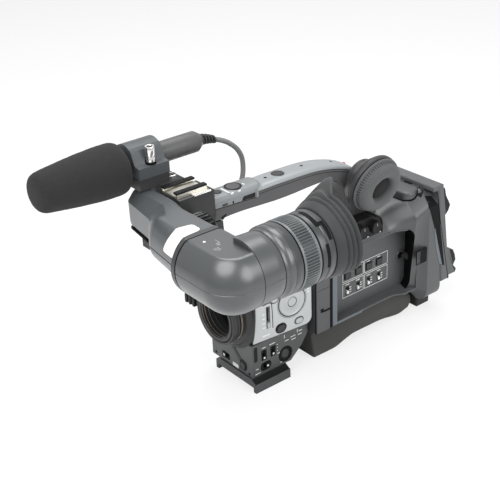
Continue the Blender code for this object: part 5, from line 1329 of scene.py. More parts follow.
class CAMCORDER_OT_speaker(bpy.types.Operator):
    """Monitor speaker and its soft ear pad"""

    bl_idname = "camcorder.speaker"
    bl_label = "Speaker and ear pad"

    centre = (124.8, 169.2)
    lean = Matrix.Translation((12, 124.8, 169.2)) @ Matrix.Rotation(math.radians(14), 4, "Y")
    lean = lean @ Matrix.Translation((-12, -124.8, -169.2))

    def execute(self, context):
        profile = [(0, 6.0), (20.3, 6.0), (20.5, 12.2), (21.8, 14.2), (23.9, 17.4), (25.6, 20.8)]
        profile += [(26.5, 22.8), (26.9, 23.6), (26.5, 23.8), (26.5, 24.4), (27.1, 24.6), (27.4, 26.0)]
        profile += [(27.4, 28.4), (26.9, 29.3), (25.9, 29.7), (25.0, 29.9), (10.8, 29.9), (10.4, 29.4)]
        profile += [(0, 29.4)]
        bm = turned(profile, "X", self.centre, 112)
        for vert in bm.verts:
            vert.co.z -= 6.5 * share(24.6, 12.0, vert.co.x)
        bmesh.ops.transform(bm, matrix=self.lean, verts=bm.verts)
        handle_side = (11.8, 0, 0)
        whole = bm.verts[:] + bm.edges[:] + bm.faces[:]
        made = bmesh.ops.bisect_plane(bm, geom=whole, plane_co=handle_side, plane_no=(-1, 0, 0),
                                      clear_outer=True)
        rim = [part for part in made["geom_cut"] if isinstance(part, bmesh.types.BMEdge)]
        bmesh.ops.holes_fill(bm, edges=rim, sides=0)
        piece("speaker_shell", bm, MAIN, "dark_plastic", stands_for=["speaker_housing"], angle=30)
        self.pad()
        self.stitches()
        seam = turned(washer(24.0, 26.5, 29.6, 31.0), "X", self.centre, 96)
        piece("speaker_seam", seam, MAIN, "deep_black", turn=self.lean)
        profile = [(0, 29.5), (11.2, 29.5), (11.2, 36.2), (9.8, 37.0), (0, 37.6)]
        gauze = turned(profile, "X", self.centre, 64)
        piece("speaker_gauze", gauze, MAIN, "gauze_foam_and_shade", turn=self.lean, angle=50)
        return {"FINISHED"}

    def around(self, reach, angle, along):
        """A place round the speaker's axis."""
        return (along, self.centre[0] + reach * math.cos(angle), self.centre[1] + reach * math.sin(angle))

    def pad(self):
        """A plump ring gathered along its outer seam."""
        count = sizes().pad_stitches
        segments = count * 6
        ring = [(11.7, 30.4), (11.4, 34.0), (11.7, 38.4), (12.6, 40.6), (14.4, 41.6), (17.6, 42.0)]
        ring += [(20.8, 41.3), (23.2, 39.5), (24.8, 36.9), (25.5, 34.9), (25.9, 34.0), (25.4, 33.5)]
        ring += [(25.8, 33.1), (26.7, 32.4), (27.0, 31.5), (26.8, 30.7), (26.0, 30.35)]
        gather = {6: 0.05, 7: 0.25, 8: 0.7, 9: 1.0, 10: 0.9}
        loops = []
        for index, (radius, along) in enumerate(ring):
            loop = []
            for segment in range(segments):
                angle = 2 * math.pi * segment / segments
                pull = abs(math.sin(angle * count / 2)) ** 0.6
                waver = noise.noise(Vector((math.cos(angle) * 9, math.sin(angle) * 9, 3.0)))
                depth = gather.get(index, 0.0) * (0.7 * (1 - pull) + 0.1 * waver)
                place = Vector((math.cos(angle) * 2.2, math.sin(angle) * 2.2, radius * 0.12))
                swell = 0.12 * noise.noise(place)
                reach = radius - depth * 0.8 + swell * (0.5 if 1 < index < 10 else 0.0)
                loop.append(self.around(reach, angle, along - depth))
            loops.append(loop)
        pad = piece("ear_cushion", loft(loops, "ring"), MAIN, "ear_leather", stands_for=["ear_pad"],
                    turn=self.lean, angle=80)

    def stitches(self):
        """Short threads across the pad's seam, one in each gather."""
        count = sizes().pad_stitches
        half = 0.2
        bm = bmesh.new()
        for step in range(count):
            angle = 2 * math.pi * step / count
            rows = []
            for radius, along in ((26.0, 33.4), (25.8, 34.4), (25.0, 36.0)):
                loop = []
                for side, lift in ((-half, -0.5), (half, -0.5), (half, 0.0), (-half, 0.0)):
                    loop.append(self.around(radius + lift, angle + side / radius, along))
                rows.append(loop)
            add_loft(bm, rows)
        piece("ear_stitches", bm, MAIN, "black_plastic", turn=self.lean)


class CAMCORDER_OT_shoulder_pad(bpy.types.Operator):
    """Rubber shoulder pad and the rear foot"""

    bl_idname = "camcorder.shoulder_pad"
    bl_label = "Shoulder pad and foot"

    def execute(self, context):
        top = 30.7
        middle = (120.0, 16.0)
        sole = [(57.5, 0.8), (64, 0.7), (75, 0.6), (85, 0.9), (96, 3.9), (107, 6.4), (118, 6.8), (129, 6.6)]
        sole += [(140, 6.6), (151, 5.8), (163, 3.8), (174, 2.9), (186, 5.7)]
        heel = [(189.6, 11.0), (187.5, 20.0), (176.2, top)]
        outline = smooth(sole, 6) + smooth(heel, 5) + [(52.4, top)]
        insets = [(-34, 2.2), (-33.4, 1.1), (-32.4, 0.4), (-30.8, 0)]
        insets += [(17.2, 0), (18.8, 0.15), (19.6, 0.45), (20, 0.9)]
        sections = []
        for x, inset in insets:
            loop = []
            for y, z in outline:
                away = Vector((y - middle[0], z - middle[1]))
                pull = min(inset / max(abs(away.y), abs(away.x) * 0.2, 0.1), 0.6)
                up = z if z > top - 0.05 else z - away.y * pull
                drawn = math.copysign(min(inset, abs(away.x)), away.x) * (abs(away.x) / 70)
                loop.append((x, y - drawn, up))
            sections.append(loop)
        pad = piece("rubber_pad", loft(sections), MAIN, "rubber", stands_for=["shoulder_pad"], angle=50)
        dress("rear_foot", "dark_plastic", 0.8)
        return {"FINISHED"}


# Body
SHOULDER = 14
CASE_IN = -9.85
POCKET_FRONT = 77.5
POCKET_REAR = 181
POCKET_LOW = 34
POCKET_HIGH = 106.5
POCKET_CORNER = 11
POCKET_SLANT = 0.39
BAY_FLOOR = 17


def case_side(y):
    """X of the left casing's side, below its sloped shoulder."""
    return 28 + 12 * share(148, 172, y) ** 2


def case_crown(y):
    """Height of the left casing's flat top."""
    return 122 + 16 * share(148, 190, y)


def case_top(x, y):
    """Height of the left casing's top, with its sloped shoulder."""
    return case_crown(y) - max(x - case_side(y) + SHOULDER, 0)


def case_loop(y, inset=0.0):
    """A section of the left casing: bottom, heel, side, shoulder and top."""
    spread = share(172, 190, y) ** 2
    side = case_side(y)
    top = case_crown(y)
    edge = 6 + 8 * spread
    heel = (28 + 12 * spread - edge, 31 - 13.5 * spread + edge)
    lean = 0.09 * share(190, 200.5, y)
    low_corner = (side, top - SHOULDER)
    high_corner = (side - SHOULDER, top)
    outline = [(CASE_IN, 31), (20.4, 31)] + arc(heel, edge, -90, 0, 9)
    outline += bend(outline[-1], low_corner, high_corner, 5)
    outline += bend(low_corner, high_corner, (CASE_IN, top), 7) + [(CASE_IN, top)]
    loop = []
    for x, z in outline:
        x -= math.copysign(inset, x - 9)
        z -= math.copysign(inset, z - 76)
        loop.append((x, y + lean * (138 - z), z))
    return loop


def pocket_loop(x):
    """The screen's pocket at one depth: square in front, with a slanted rear wall and round corners."""
    round_y = POCKET_REAR - POCKET_SLANT * (x - BAY_FLOOR) - POCKET_CORNER
    outline = [(POCKET_FRONT, POCKET_LOW)]
    outline += arc((round_y, POCKET_LOW + POCKET_CORNER), POCKET_CORNER, -90, 0, 12)
    outline += arc((round_y, POCKET_HIGH - POCKET_CORNER), POCKET_CORNER, 0, 90, 12)
    outline += [(POCKET_FRONT, POCKET_HIGH)]
    return [(x, y, z) for y, z in outline]


def on_shaded_pocket_wall(middle):
    """True on the pocket's rear wall and corners, which get a painted shadow of deep black."""
    along = middle.y + POCKET_SLANT * (middle.x - BAY_FLOOR)
    out = abs(along - (POCKET_FRONT + POCKET_REAR) / 2) - (POCKET_REAR - POCKET_FRONT) / 2 + POCKET_CORNER
    up = abs(middle.z - (POCKET_LOW + POCKET_HIGH) / 2) - (POCKET_HIGH - POCKET_LOW) / 2 + POCKET_CORNER
    away = math.hypot(max(out, 0), max(up, 0)) + min(max(out, up), 0) - POCKET_CORNER
    return abs(away) < 0.25 and along > 150


def on_hooks(middle):
    """True on the battery plate's hooked rails, behind its slanted face."""
    return middle.y > 209.3 + 0.2157 * (136 - middle.z)


class CAMCORDER_OT_body(bpy.types.Operator):
    """Casings, screen bay, audio pod, rear cover and battery plate"""

    bl_idname = "camcorder.body"
    bl_label = "Body"

    bay_columns = tuple(103.1 + 14 * index for index in range(4))
    boss = (18, 180.5)

    def execute(self, context):
        edge = sizes().edge
        places = [60, 76, 100, 125, 146] + [148 + 1.2 * step for step in range(36)] + [192, 195, 198, 200]
        loops = [case_loop(51.5, 0.6), case_loop(52.1)]
        loops += [case_loop(y) for y in places] + [case_loop(200.5, 0.5)]
        pocket = loft([pocket_loop(2), pocket_loop(62)])
        piece("case_shell", pierced(loft(loops), pocket), MAIN, "body_plastic", stands_for=["casing_left"],
              angle=24, other=("deep_black", on_shaded_pocket_wall))
        dress("casing_right", "body_plastic", edge)
        dress("circuit_board", "board_green")
        plate = dress("battery_plate", "battery_plastic", edge)
        plate.data.materials.append(finish_of("black_plastic"))
        for face in plate.data.polygons:
            face.material_index = int(on_hooks(plate.matrix_world @ face.center / MM))
        self.hinge()
        self.bay()
        self.bay_stop()
        self.pod()
        self.rear()
        self.rear_side()
        return {"FINISHED"}

    def hinge(self):
        """Cover of the screen's hinge, black boxes of painted shade in the gaps round it and along the pad's
        top, and the strip round the bay's front.
        """
        outline = panel_of((52.6, 33.5), (69.0, 104.0), 2.0)
        piece("hinge_cover", prism(outline, "X", 27.6, 29.6), MAIN, "bay_plastic", 0.8, 3)
        slit = boxes(((29.2, 60.0, 54.5), (29.8, 69.4, 56.6)), ((29.2, 57.0, 55.0), (29.8, 60.8, 59.0)),
                     ((29.4, 53.2, 78.8), (29.68, 68.8, 79.2)))
        piece("hinge_slit", slit, MAIN, "deep_black", 0.1)
        # Painted shade: black boxes in the gaps beside the hinge cover and under the casing's edge along the
        # pad's top.
        gaps = boxes(((27.7, 69.1, 33.5), (28.6, 73.2, 104.0)), ((27.7, 51.4, 33.5), (28.2, 53.0, 104.0)),
                     ((19.6, 53.0, 28.9), (20.5, 178.0, 31.02)))
        piece("hinge_gap_shade", gaps, MAIN, "deep_black")
        # Painted shadow: a black box in the gap between the front casing and the main casing.
        piece("front_gap_shade", boxes(((-36.0, 48.4, 49.6), (20.6, 51.3, 109.0))), MAIN, "deep_black")
        strip = [(71.6, 33.2), (112, 33.2), (112.8, 34.4), (112, 35.7)]
        strip += [(79.4, 35.7), (79.4, 106.8), (71.6, 106.8)]
        piece("bay_strip", prism(strip, "X", 27.4, 28.3), MAIN, "strip_plastic", 0.3)

    def bay(self):
        """Keys and switches in the screen's bay, with their print and dark frames."""
        dress("screen_bay", "bay_plastic", 0.3)
        dress("bay_keypad", "dark_plastic", 0.35)
        for index in range(4):
            dress("bay_switch_%d" % (index + 1), "knob_white", 0.3)
        wide = 0.45
        lines = []
        for low, high in (((96.7, 66.5), (124.2, 80.4)), ((125.4, 66.5), (157.0, 80.4)),
                          ((96.7, 49.4), (124.2, 65.2)), ((125.4, 49.4), (157.0, 65.2))):
            lines.append(((low[0], low[1]), (high[0], low[1] + wide)))
            lines.append(((low[0], high[1] - wide), (high[0], high[1])))
            lines.append(((low[0], low[1]), (low[0] + wide, high[1])))
            lines.append(((high[0] - wide, low[1]), (high[0], high[1])))
        for y in self.bay_columns:
            lines.append(((y - 2.2, 77.6), (y + 1.6, 78.3)))
            lines.append(((y - 2.6, 62.4), (y + 2.4, 63.1)))
            for step in range(3):
                lines.append(((y + 2.6, 53.0 + step * 2.6), (y + 5.0, 53.8 + step * 2.6)))
        sunk = BAY_FLOOR - 0.1
        prints = [((sunk, *low), (BAY_FLOOR + 0.05, *high)) for low, high in lines]
        piece("bay_print", boxes(*prints), MAIN, "pale_print")
        frames = bmesh.new()
        for y in self.bay_columns:
            self.key_frame(frames, (y - 4.6, 68.6), (y + 4.6, 77.0), 0.75, 1.4)
            self.key_frame(frames, (y - 2.3, 51.4), (y + 2.3, 60.6), 0.5, 0.5)
        piece("bay_key_frames", frames, MAIN, "deep_black")

    def key_frame(self, bm, low, high, wide, radius):
        """A thin rounded frame on the bay's floor."""
        outer = panel_of(low, high, radius)
        inside = (low[0] + wide, low[1] + wide), (high[0] - wide, high[1] - wide)
        inner = panel_of(*inside, max(radius - wide, 0.2))
        add_band(bm, outer, inner, "X", BAY_FLOOR - 0.1, BAY_FLOOR + 0.08)

    def bay_stop(self):
        """Round stop and the screen's catch at the bay's rear."""
        centre = (173.9, 68.9)
        ring = [(3.6, 16.6), (5.6, 16.6), (5.6, 17.6), (5.2, 18.2), (4.1, 18.2), (3.6, 17.8)]
        piece("bay_stop_ring", turned(ring, "X", centre, 48), MAIN, "body_plastic", angle=30)
        piece("bay_stop_hole", turned(disc(3.65, 16.7, 17.2), "X", centre, 32), MAIN, "deep_black")
        catch = boxes(((19.0, 176.6, 65.6), (24.5, 181.4, 71.6)), ((18.2, 174.8, 66.8), (21.5, 177.0, 70.4)))
        piece("bay_catch", catch, MAIN, "dark_plastic", 0.4)

    def pod(self):
        """Audio level pod on the casing's top: black box with a banded rear end and two knobs."""
        bulge = (128.6, 118.6)
        outline = [(98.4, 107.5), (139.6, 107.5)] + arc(bulge, 11, 0, 84, 12) + [(98.4, 131.4)]
        piece("pod_box", prism(outline, "X", 11.8, 25.7), MAIN, "black_plastic", 0.8, 3)
        band = [(139.9, 107.5)] + arc(bulge, 11.35, 0, 84, 12) + arc(bulge, 9.6, 84, 0, 12) + [(138.2, 107.5)]
        piece("pod_band", prism(band, "X", 12.2, 26.2), MAIN, "deep_black", 0.3)
        ribs = 14
        profile = [(0, 25.8), (6.0, 25.8), (6.2, 26.2), (6.2, 30.6), (5.9, 31.4), (5.2, 31.8), (0, 31.6)]
        for number, y in ((1, 110.75), (2, 127.25)):
            knob = "level_knob_%d" % number
            bm = turned(profile, "X", (y, 120), ribs * 8, comb(ribs, 0.45, 0.25), 0.5, (2, 3))
            piece("level_grip_%d" % number, bm, knob, "black_plastic",
                  stands_for=["audio_knob_%d" % number], angle=30)
            mark = boxes(((31.5, y - 0.3, 121.8), (31.85, y + 0.3, 124.6)))
            piece("level_mark_%d" % number, mark, knob, "faint_print")
        ticks = [((25.6, y, 110.2), (25.8, y + 2.2, 111.0)) for y in (103.4, 119.9, 136.4)]
        piece("pod_print", boxes(*ticks), MAIN, "pale_print")

    def rear(self):
        """Boss with its slots and a painted shadow round its foot, and the deck above the battery plate."""
        middle = (8, self.boss[1])
        outline = [(-9, 171)] + arc(self.boss, 9.5, -90, 90, 20) + [(-9, 190)]
        loops = []
        for z, inset in ((128, 0), (135.6, 0), (136.8, 0.25), (137.8, 0.8), (138.5, 1.7), (138.8, 2.8)):
            loop = []
            for x, y in outline:
                away = Vector((x - middle[0], y - middle[1]))
                loop.append((x - inset * (x > middle[0]) * away.x / 19.5, y - inset * away.y / 9.5, z))
            loops.append(loop)
        piece("rear_boss", loft(loops), MAIN, "body_plastic", angle=40)
        deck = [(194.9, 137.4), (209.0, 137.4), (208.6, 142.1), (196.0, 142.1), (194.9, 141.2)]
        piece("rear_deck", prism(deck, "X", -38.6, 39.4), MAIN, "battery_plastic", 0.6, 3)
        bm = bmesh.new()
        # The first patch, a little wider than the boss, is a painted shadow round its foot; the slot and the
        # small panel after it are dark openings.
        self.drape(bm, [(-9, 169.8)] + arc(self.boss, 10.6, -90, 90, 20) + [(-9, 191.1)], 0.12)
        slot = [(20.5, 187.4), (27.5, 184.6), (31.0, 186.4), (28.4, 192.4), (21.4, 193.0)]
        self.drape(bm, rounded(slot, 1.0), 0.25)
        self.drape(bm, panel_of((2.0, 192.0), (12.0, 196.0), 0.8), 0.25)
        piece("rear_slots_and_shadow", bm, MAIN, "deep_black")

    def drape(self, bm, outline, lift):
        """A thin patch laid on the casing's top."""
        loops = []
        for drop in (0.8, 0.0):
            loops.append([(x, y, case_top(x, y) + lift - drop) for x, y in outline])
        add_loft(bm, loops)

    def rear_side(self):
        """Finger notch and the wedge between casing and battery plate as black sheets of painted shade, the
        wedge's strip, and the battery plate's groove.
        """
        # The finger notch's recess is drawn as a black sheet: painted shade.
        notch = boxes(((39.2, 173.4, 66.0), (40.12, 188.0, 81.4)))
        piece("finger_notch_shade", notch, MAIN, "deep_black", 0.3)
        ribs = []
        for step in range(3):
            low = 174.0 + step * 1.7
            ribs.append(((39.3, low, 67.0), (40.2, low + 0.9, 80.6)))
        piece("finger_ribs", boxes(*ribs), MAIN, "body_plastic", 0.2)
        # The slot between casing and battery plate is drawn as a black wedge: painted shade.
        wedge = [(188.8, 123.6), (200.6, 123.6), (201.6, 119.0), (214.6, 52.0), (211.6, 53.0), (197.1, 100.0)]
        wedge += [(191.0, 117.0)]
        bm = prism(wedge, "X", 39.5, 40.2)
        slope = [(40.2, 188.8, 123.6), (40.2, 200.6, 123.6), (33.2, 198.4, 131.0), (31.6, 190.6, 132.6)]
        add_loft(bm, [slope, [(x - 0.8, y, z - 0.8) for x, y, z in slope]])
        piece("rear_wedge_shade", bm, MAIN, "deep_black")
        strip = [(197.2, 98.4), (199.9, 78.7), (206.8, 56.3), (211.0, 54.2), (204.1, 77.2), (198.4, 98.0)]
        piece("wedge_strip", prism(strip, "X", 39.6, 40.35), MAIN, "strip_plastic", 0.1)
        line = [(199.2, 136.0), (204.9, 105.1), (214.4, 63.9), (221.2, 34.0)]
        groove = line + [(y + 0.7, z) for y, z in line[::-1]]
        piece("battery_groove", prism(groove, "X", 39.6, 40.2), MAIN, "deep_black")


# Front
LENS_AXIS = (-10, 71.5)
BLOCK_SIDE = 21
BLOCK_FRONT = -19
GAIN_Y = -4.9
WHITE_BALANCE_Y = 5.8
CURSOR = (43.5, 77.0)
ROUND_KEY = (24.2, 87.0)
PANEL_FRAME = Matrix.Translation((20, -16, 0)) @ Matrix.Rotation(math.radians(-4.9), 4, "Z")


def pill(u, z, length, height):
    """An outline with two round ends."""
    radius = height / 2
    reach = length / 2 - radius
    return arc((u + reach, z), radius, -90, 90, 14) + arc((u - reach, z), radius, 90, 270, 14)


def circle(centre, radius, count):
    return arc(centre, radius, 0, 360, count)[:-1]


class CAMCORDER_OT_front(bpy.types.Operator):
    """Front casing, switch block, lens mount, control panel and tripod plate"""

    bl_idname = "camcorder.front"
    bl_label = "Front"

    def execute(self, context):
        dress("front_casing", "dark_plastic", 1.0, 3)
        dress("switch_block", "body_plastic", 0.9, 3)
        dress("tripod_plate", "plate_metal", 0.5)
        dress("sensor_block", "black_plastic", 0.3)
        self.mount()
        self.switches()
        self.block_trim()
        self.block_front()
        self.cursor()
        self.panel()
        return {"FINISHED"}

    def mount(self):
        """Lens mount with its steel rings, and the bayonet ring with its ribbed lever."""
        profile = [(19.5, -19.3), (36.6, -19.3), (34.6, -19.7), (32.6, -20.8), (31.2, -22.6), (30.0, -22.9)]
        profile += [(27.2, -22.9), (26.6, -23.2), (26.6, -25.6), (24.5, -25.8), (24.5, -34.6), (24.0, -35.2)]
        profile += [(21.4, -35.2), (21.0, -34.6), (21.0, -31.6), (20.3, -31.3), (20.3, -27.4), (19.9, -27.1)]
        profile += [(19.9, -23.4), (19.5, -23.1)]
        piece("mount_barrel", turned(profile, "Y", LENS_AXIS, 128), MAIN, "mount_black",
              stands_for=["lens_mount"], angle=30)
        bm = bmesh.new()
        for radius, along in ((21.05, -33.6), (20.4, -31.1), (20.35, -27.2), (26.65, -24.9), (26.65, -23.9)):
            wire = [(radius + a, along + b) for a, b in circle((0, 0), 0.22, 8)]
            add_turned(bm, wire, "Y", LENS_AXIS, 96)
        piece("mount_rings", bm, MAIN, "ring_steel")
        profile = [(25.05, -26.9), (26.9, -26.9), (27.4, -27.3), (27.4, -29.2), (26.9, -29.4), (26.9, -30.0)]
        profile += [(27.4, -30.2), (27.4, -34.0), (26.9, -34.7), (25.4, -34.7), (25.05, -34.3)]
        piece("lock_ring", turned(profile, "Y", LENS_AXIS, 128), "mount_ring", "mount_black",
              stands_for=["bayonet_ring"], angle=30)
        bm = bmesh.new()
        for x in (-57.0, -51.4, -45.8):
            add_prism(bm, panel_of((x, 66.8), (x + 4.0, 76.2), 1.6), "Y", -34.6, -27.2)
        add_prism(bm, panel_of((-56.0, 68.2), (-36.6, 74.8), 1.0), "Y", -33.0, -28.4)
        piece("lock_lever", bm, "mount_ring", "black_plastic", 0.5)

    def switches(self):
        """Switches and buttons of the block, with their wells, ring and white dots."""
        dress("gain_switch", "black_plastic", 0.4)
        dress("white_balance_switch", "black_plastic", 0.4)
        dress("power_switch", "black_plastic", 0.8, 3)
        dress("record_trigger", "dark_plastic", 0.4)
        dress("front_switch", "black_plastic", 0.6)
        dress("front_button", "dark_plastic", 0.4)
        wells = []
        for y in (GAIN_Y, WHITE_BALANCE_Y):
            outer = panel_of((y - 3.0, 26.9), (y + 3.0, 37.5), 0.8)
            wells.append((outer, panel_of((y - 2.1, 28.0), (y + 2.1, 36.4), 0.3)))
        wells.append((panel_of((-9.4, 15.6), (3.2, 24.4), 4.3), panel_of((-8.0, 17.0), (1.8, 23.0), 2.6)))
        bm = bmesh.new()
        for outer, inner in wells:
            add_band(bm, outer, inner, "X", BLOCK_SIDE - 0.2, BLOCK_SIDE + 0.1)
        piece("switch_wells", bm, MAIN, "deep_black")
        ring = [(5.3, 20.6), (8.2, 20.6), (8.2, 21.1), (7.8, 21.5), (5.9, 21.5), (5.3, 21.2)]
        piece("trigger_ring", turned(ring, "X", (20.5, 22.5), 64), MAIN, "deep_black", angle=30)
        for body, y in (("gain_knob", GAIN_Y), ("white_balance_knob", WHITE_BALANCE_Y)):
            tip = boxes(((21.6, y - 0.9, 28.7), (21.92, y + 0.9, 30.5)))
            piece(body + "_tip", tip, body, "knob_white", 0.2)
        dot = boxes(((21.6, -2.2, 19.0), (21.92, -0.4, 20.8)))
        piece("power_dot", dot, "power_knob", "knob_white", 0.2)
        dot = boxes(((-21.4, -19.95, 18.4), (-19.2, -19.7, 20.6)))
        piece("front_dot", dot, "front_knob", "knob_white", 0.3)

    def block_trim(self):
        """Groove and print on the block's left side."""
        low = BLOCK_SIDE - 0.1
        high = BLOCK_SIDE + 0.06
        groove = panel_of((-16.6, 28.4), (-12.4, 44.4), 2.0)
        piece("front_groove", prism(groove, "X", 20.7, 21.08), MAIN, "black_plastic", 0.2)
        dashes = [(-7.0, 39.6, 4.4), (1.6, 39.8, 6.8), (10.6, 36.4, 1.0), (10.6, 33.2, 1.0)]
        dashes += [(10.6, 30.0, 1.0), (10.8, 26.6, 5.0), (-15.0, 20.0, 3.0), (-15.6, 15.0, 6.0)]
        dashes += [(14.0, 15.4, 3.4), (20.0, 36.0, 4.6), (27.0, 37.4, 6.0), (28.0, 34.2, 5.4)]
        dashes += [(36.0, 36.4, 4.6), (37.0, 40.0, 4.0)]
        ticks = [((low, y, z), (high, y + long, z + 0.7)) for y, z, long in dashes]
        ticks.append(((low, 19.4, 39.6), (high, 19.9, 43.4)))
        ticks.append(((low, 35.2, 39.4), (high, 35.7, 43.2)))
        piece("block_print", boxes(*ticks), MAIN, "pale_print")

    def block_front(self):
        """Label, bezel, ribbed strip and screw wells on the block's front, and the wedge at its foot."""
        sunk = BLOCK_FRONT + 0.1
        label = panel_of((-8.0, 13.6), (0.4, 17.4), 0.6)
        piece("front_label", prism(label, "Y", -19.15, sunk), MAIN, "pale_print")
        bm = bmesh.new()
        outer = rounded([(2.0, 15.2), (13.4, 16.4), (13.0, 26.0), (3.6, 27.4)], 5, 6)
        add_band(bm, outer, self.matched(circle((7.4, 20.5), 4.1, 27), outer), "Y", -19.4, sunk)
        piece("front_bezel", bm, MAIN, "black_plastic", 0.2)
        ribs = []
        for step in range(9):
            ribs.append(((-1.9, -19.5, -9.0 + step * 2.0), (1.9, sunk, -7.9 + step * 2.0)))
        ribs.append(((-2.3, -19.25, -10), (2.3, sunk, 10)))
        turn = Matrix.Translation((-2.6, 0, 31.6)) @ Matrix.Rotation(math.radians(-46), 4, "Y")
        piece("front_strip", boxes(*ribs), MAIN, "dark_plastic", 0.2, turn=turn)
        bm = bmesh.new()
        for x, z, radius in ((-33.4, 16.0, 1.6), (16.4, 15.6, 1.4), (-33.4, 42.0, 1.6)):
            add_turned(bm, disc(radius, -19.08, -18.8), "Y", (x, z), 24)
        piece("front_screw_wells", bm, MAIN, "deep_black")
        wedge = [(27.0, 9.3), (26.2, 9.35), (21.05, 12.45), (21.05, 9.3)]
        piece("plate_wedge", prism(wedge, "Y", -20.3, 20.3), MAIN, "black_plastic", 0.1)

    def matched(self, inner, outer):
        """The inner outline with as many points as the outer one, starting nearest to its first."""
        count = len(outer)
        inner = [inner[int(index * len(inner) / count)] for index in range(count)]
        start = min(range(count), key=lambda k: (Vector(inner[k]) - Vector(outer[0])).length)
        return inner[start:] + inner[:start]

    def cursor(self):
        """Control panel's round cursor pad, its set key and the dark rings round them."""
        dress("control_panel", "panel_silver", 0.4)
        profile = [(5.1, -1.7), (14.2, -1.7), (14.2, 0.2), (13.8, 0.7), (12.9, 0.8), (12.4, 0.5)]
        profile += [(11.9, 0.35), (7.4, 0.35), (6.6, 0.7), (5.1, 0.7)]
        piece("cursor_dial", turned(profile, "X", CURSOR, 96), "cursor", "key_silver",
              stands_for=["cursor_pad"], turn=PANEL_FRAME, angle=25)
        profile = [(0, -1.7), (4.5, -1.7), (4.5, 0.4), (4.2, 0.75), (3.2, 0.8), (0, 0.55)]
        piece("set_key_cap", turned(profile, "X", CURSOR, 48), "set_key", "key_silver",
              stands_for=["set_button"], turn=PANEL_FRAME, angle=25)
        rings = bmesh.new()
        add_turned(rings, washer(14.3, 15.3, -0.2, 0.12), "X", CURSOR, 96)
        add_turned(rings, washer(4.52, 5.08, -0.4, 0.45), "X", CURSOR, 48)
        add_turned(rings, washer(16.0, 16.35, -0.2, 0.07), "X", CURSOR, 96)
        piece("cursor_rings", rings, MAIN, "dark_print", turn=PANEL_FRAME)

    def panel(self):
        """Control panel's other keys and slider, with their outlines and marks."""
        for node in ("round_button", "oval_button", "filter_slider"):
            dress(node, "key_silver", 0.3)
        dress("dark_button", "dark_plastic", 0.35)
        bm = bmesh.new()
        add_band(bm, pill(30.8, 53.6, 12.4, 10.2), pill(30.8, 53.6, 9.8, 7.6), "X", -0.2, 0.25)
        piece("dark_key_bezel", bm, MAIN, "black_plastic", 0.1, turn=PANEL_FRAME)
        bm = bmesh.new()
        add_band(bm, circle(ROUND_KEY, 5.5, 48), circle(ROUND_KEY, 4.55, 48), "X", -0.2, 0.06)
        add_band(bm, pill(51.1, 54.5, 10.4, 7.6), pill(51.1, 54.5, 9.0, 6.2), "X", -0.2, 0.06)
        for low, high in (((15.1, 58.4), (15.4, 81.2)), ((19.0, 58.4), (19.3, 81.2)),
                          ((15.1, 80.9), (19.3, 81.2)), ((15.1, 58.4), (19.3, 58.7))):
            add_prism(bm, rectangle(low, high), "X", -0.1, 0.06)
        piece("key_outlines", bm, MAIN, "dark_print", turn=PANEL_FRAME)
        route = ((11.5, 83.6), (18.6, 84.2), (20.6, 83.2), (21.4, 80.8), (21.9, 70.0), (22.0, 57.2))
        line = tube(smooth([(0.02, y, z) for y, z in route], 6), 0.4, 8)
        piece("slider_outline", line, MAIN, "dark_print", turn=PANEL_FRAME)
        low = -0.1
        high = 0.05
        marks = []
        for step in range(4):
            marks.append(((low, 11.0, 60.0 + step * 4.6), (high, 13.4, 60.9 + step * 4.6)))
        marks.append(((low, 10.4, 51.2), (high, 18.4, 52.6)))
        for step in range(3):
            marks.append(((low, 61.4, 80.0 + step * 3.0), (high, 62.6, 81.8 + step * 3.0)))
        piece("panel_marks", boxes(*marks), MAIN, "pale_print", turn=PANEL_FRAME)


# Stage
AMBIENT = 0.16
FLOOR_GLOW = 0.74
FLOOR_DROP = 0.0004


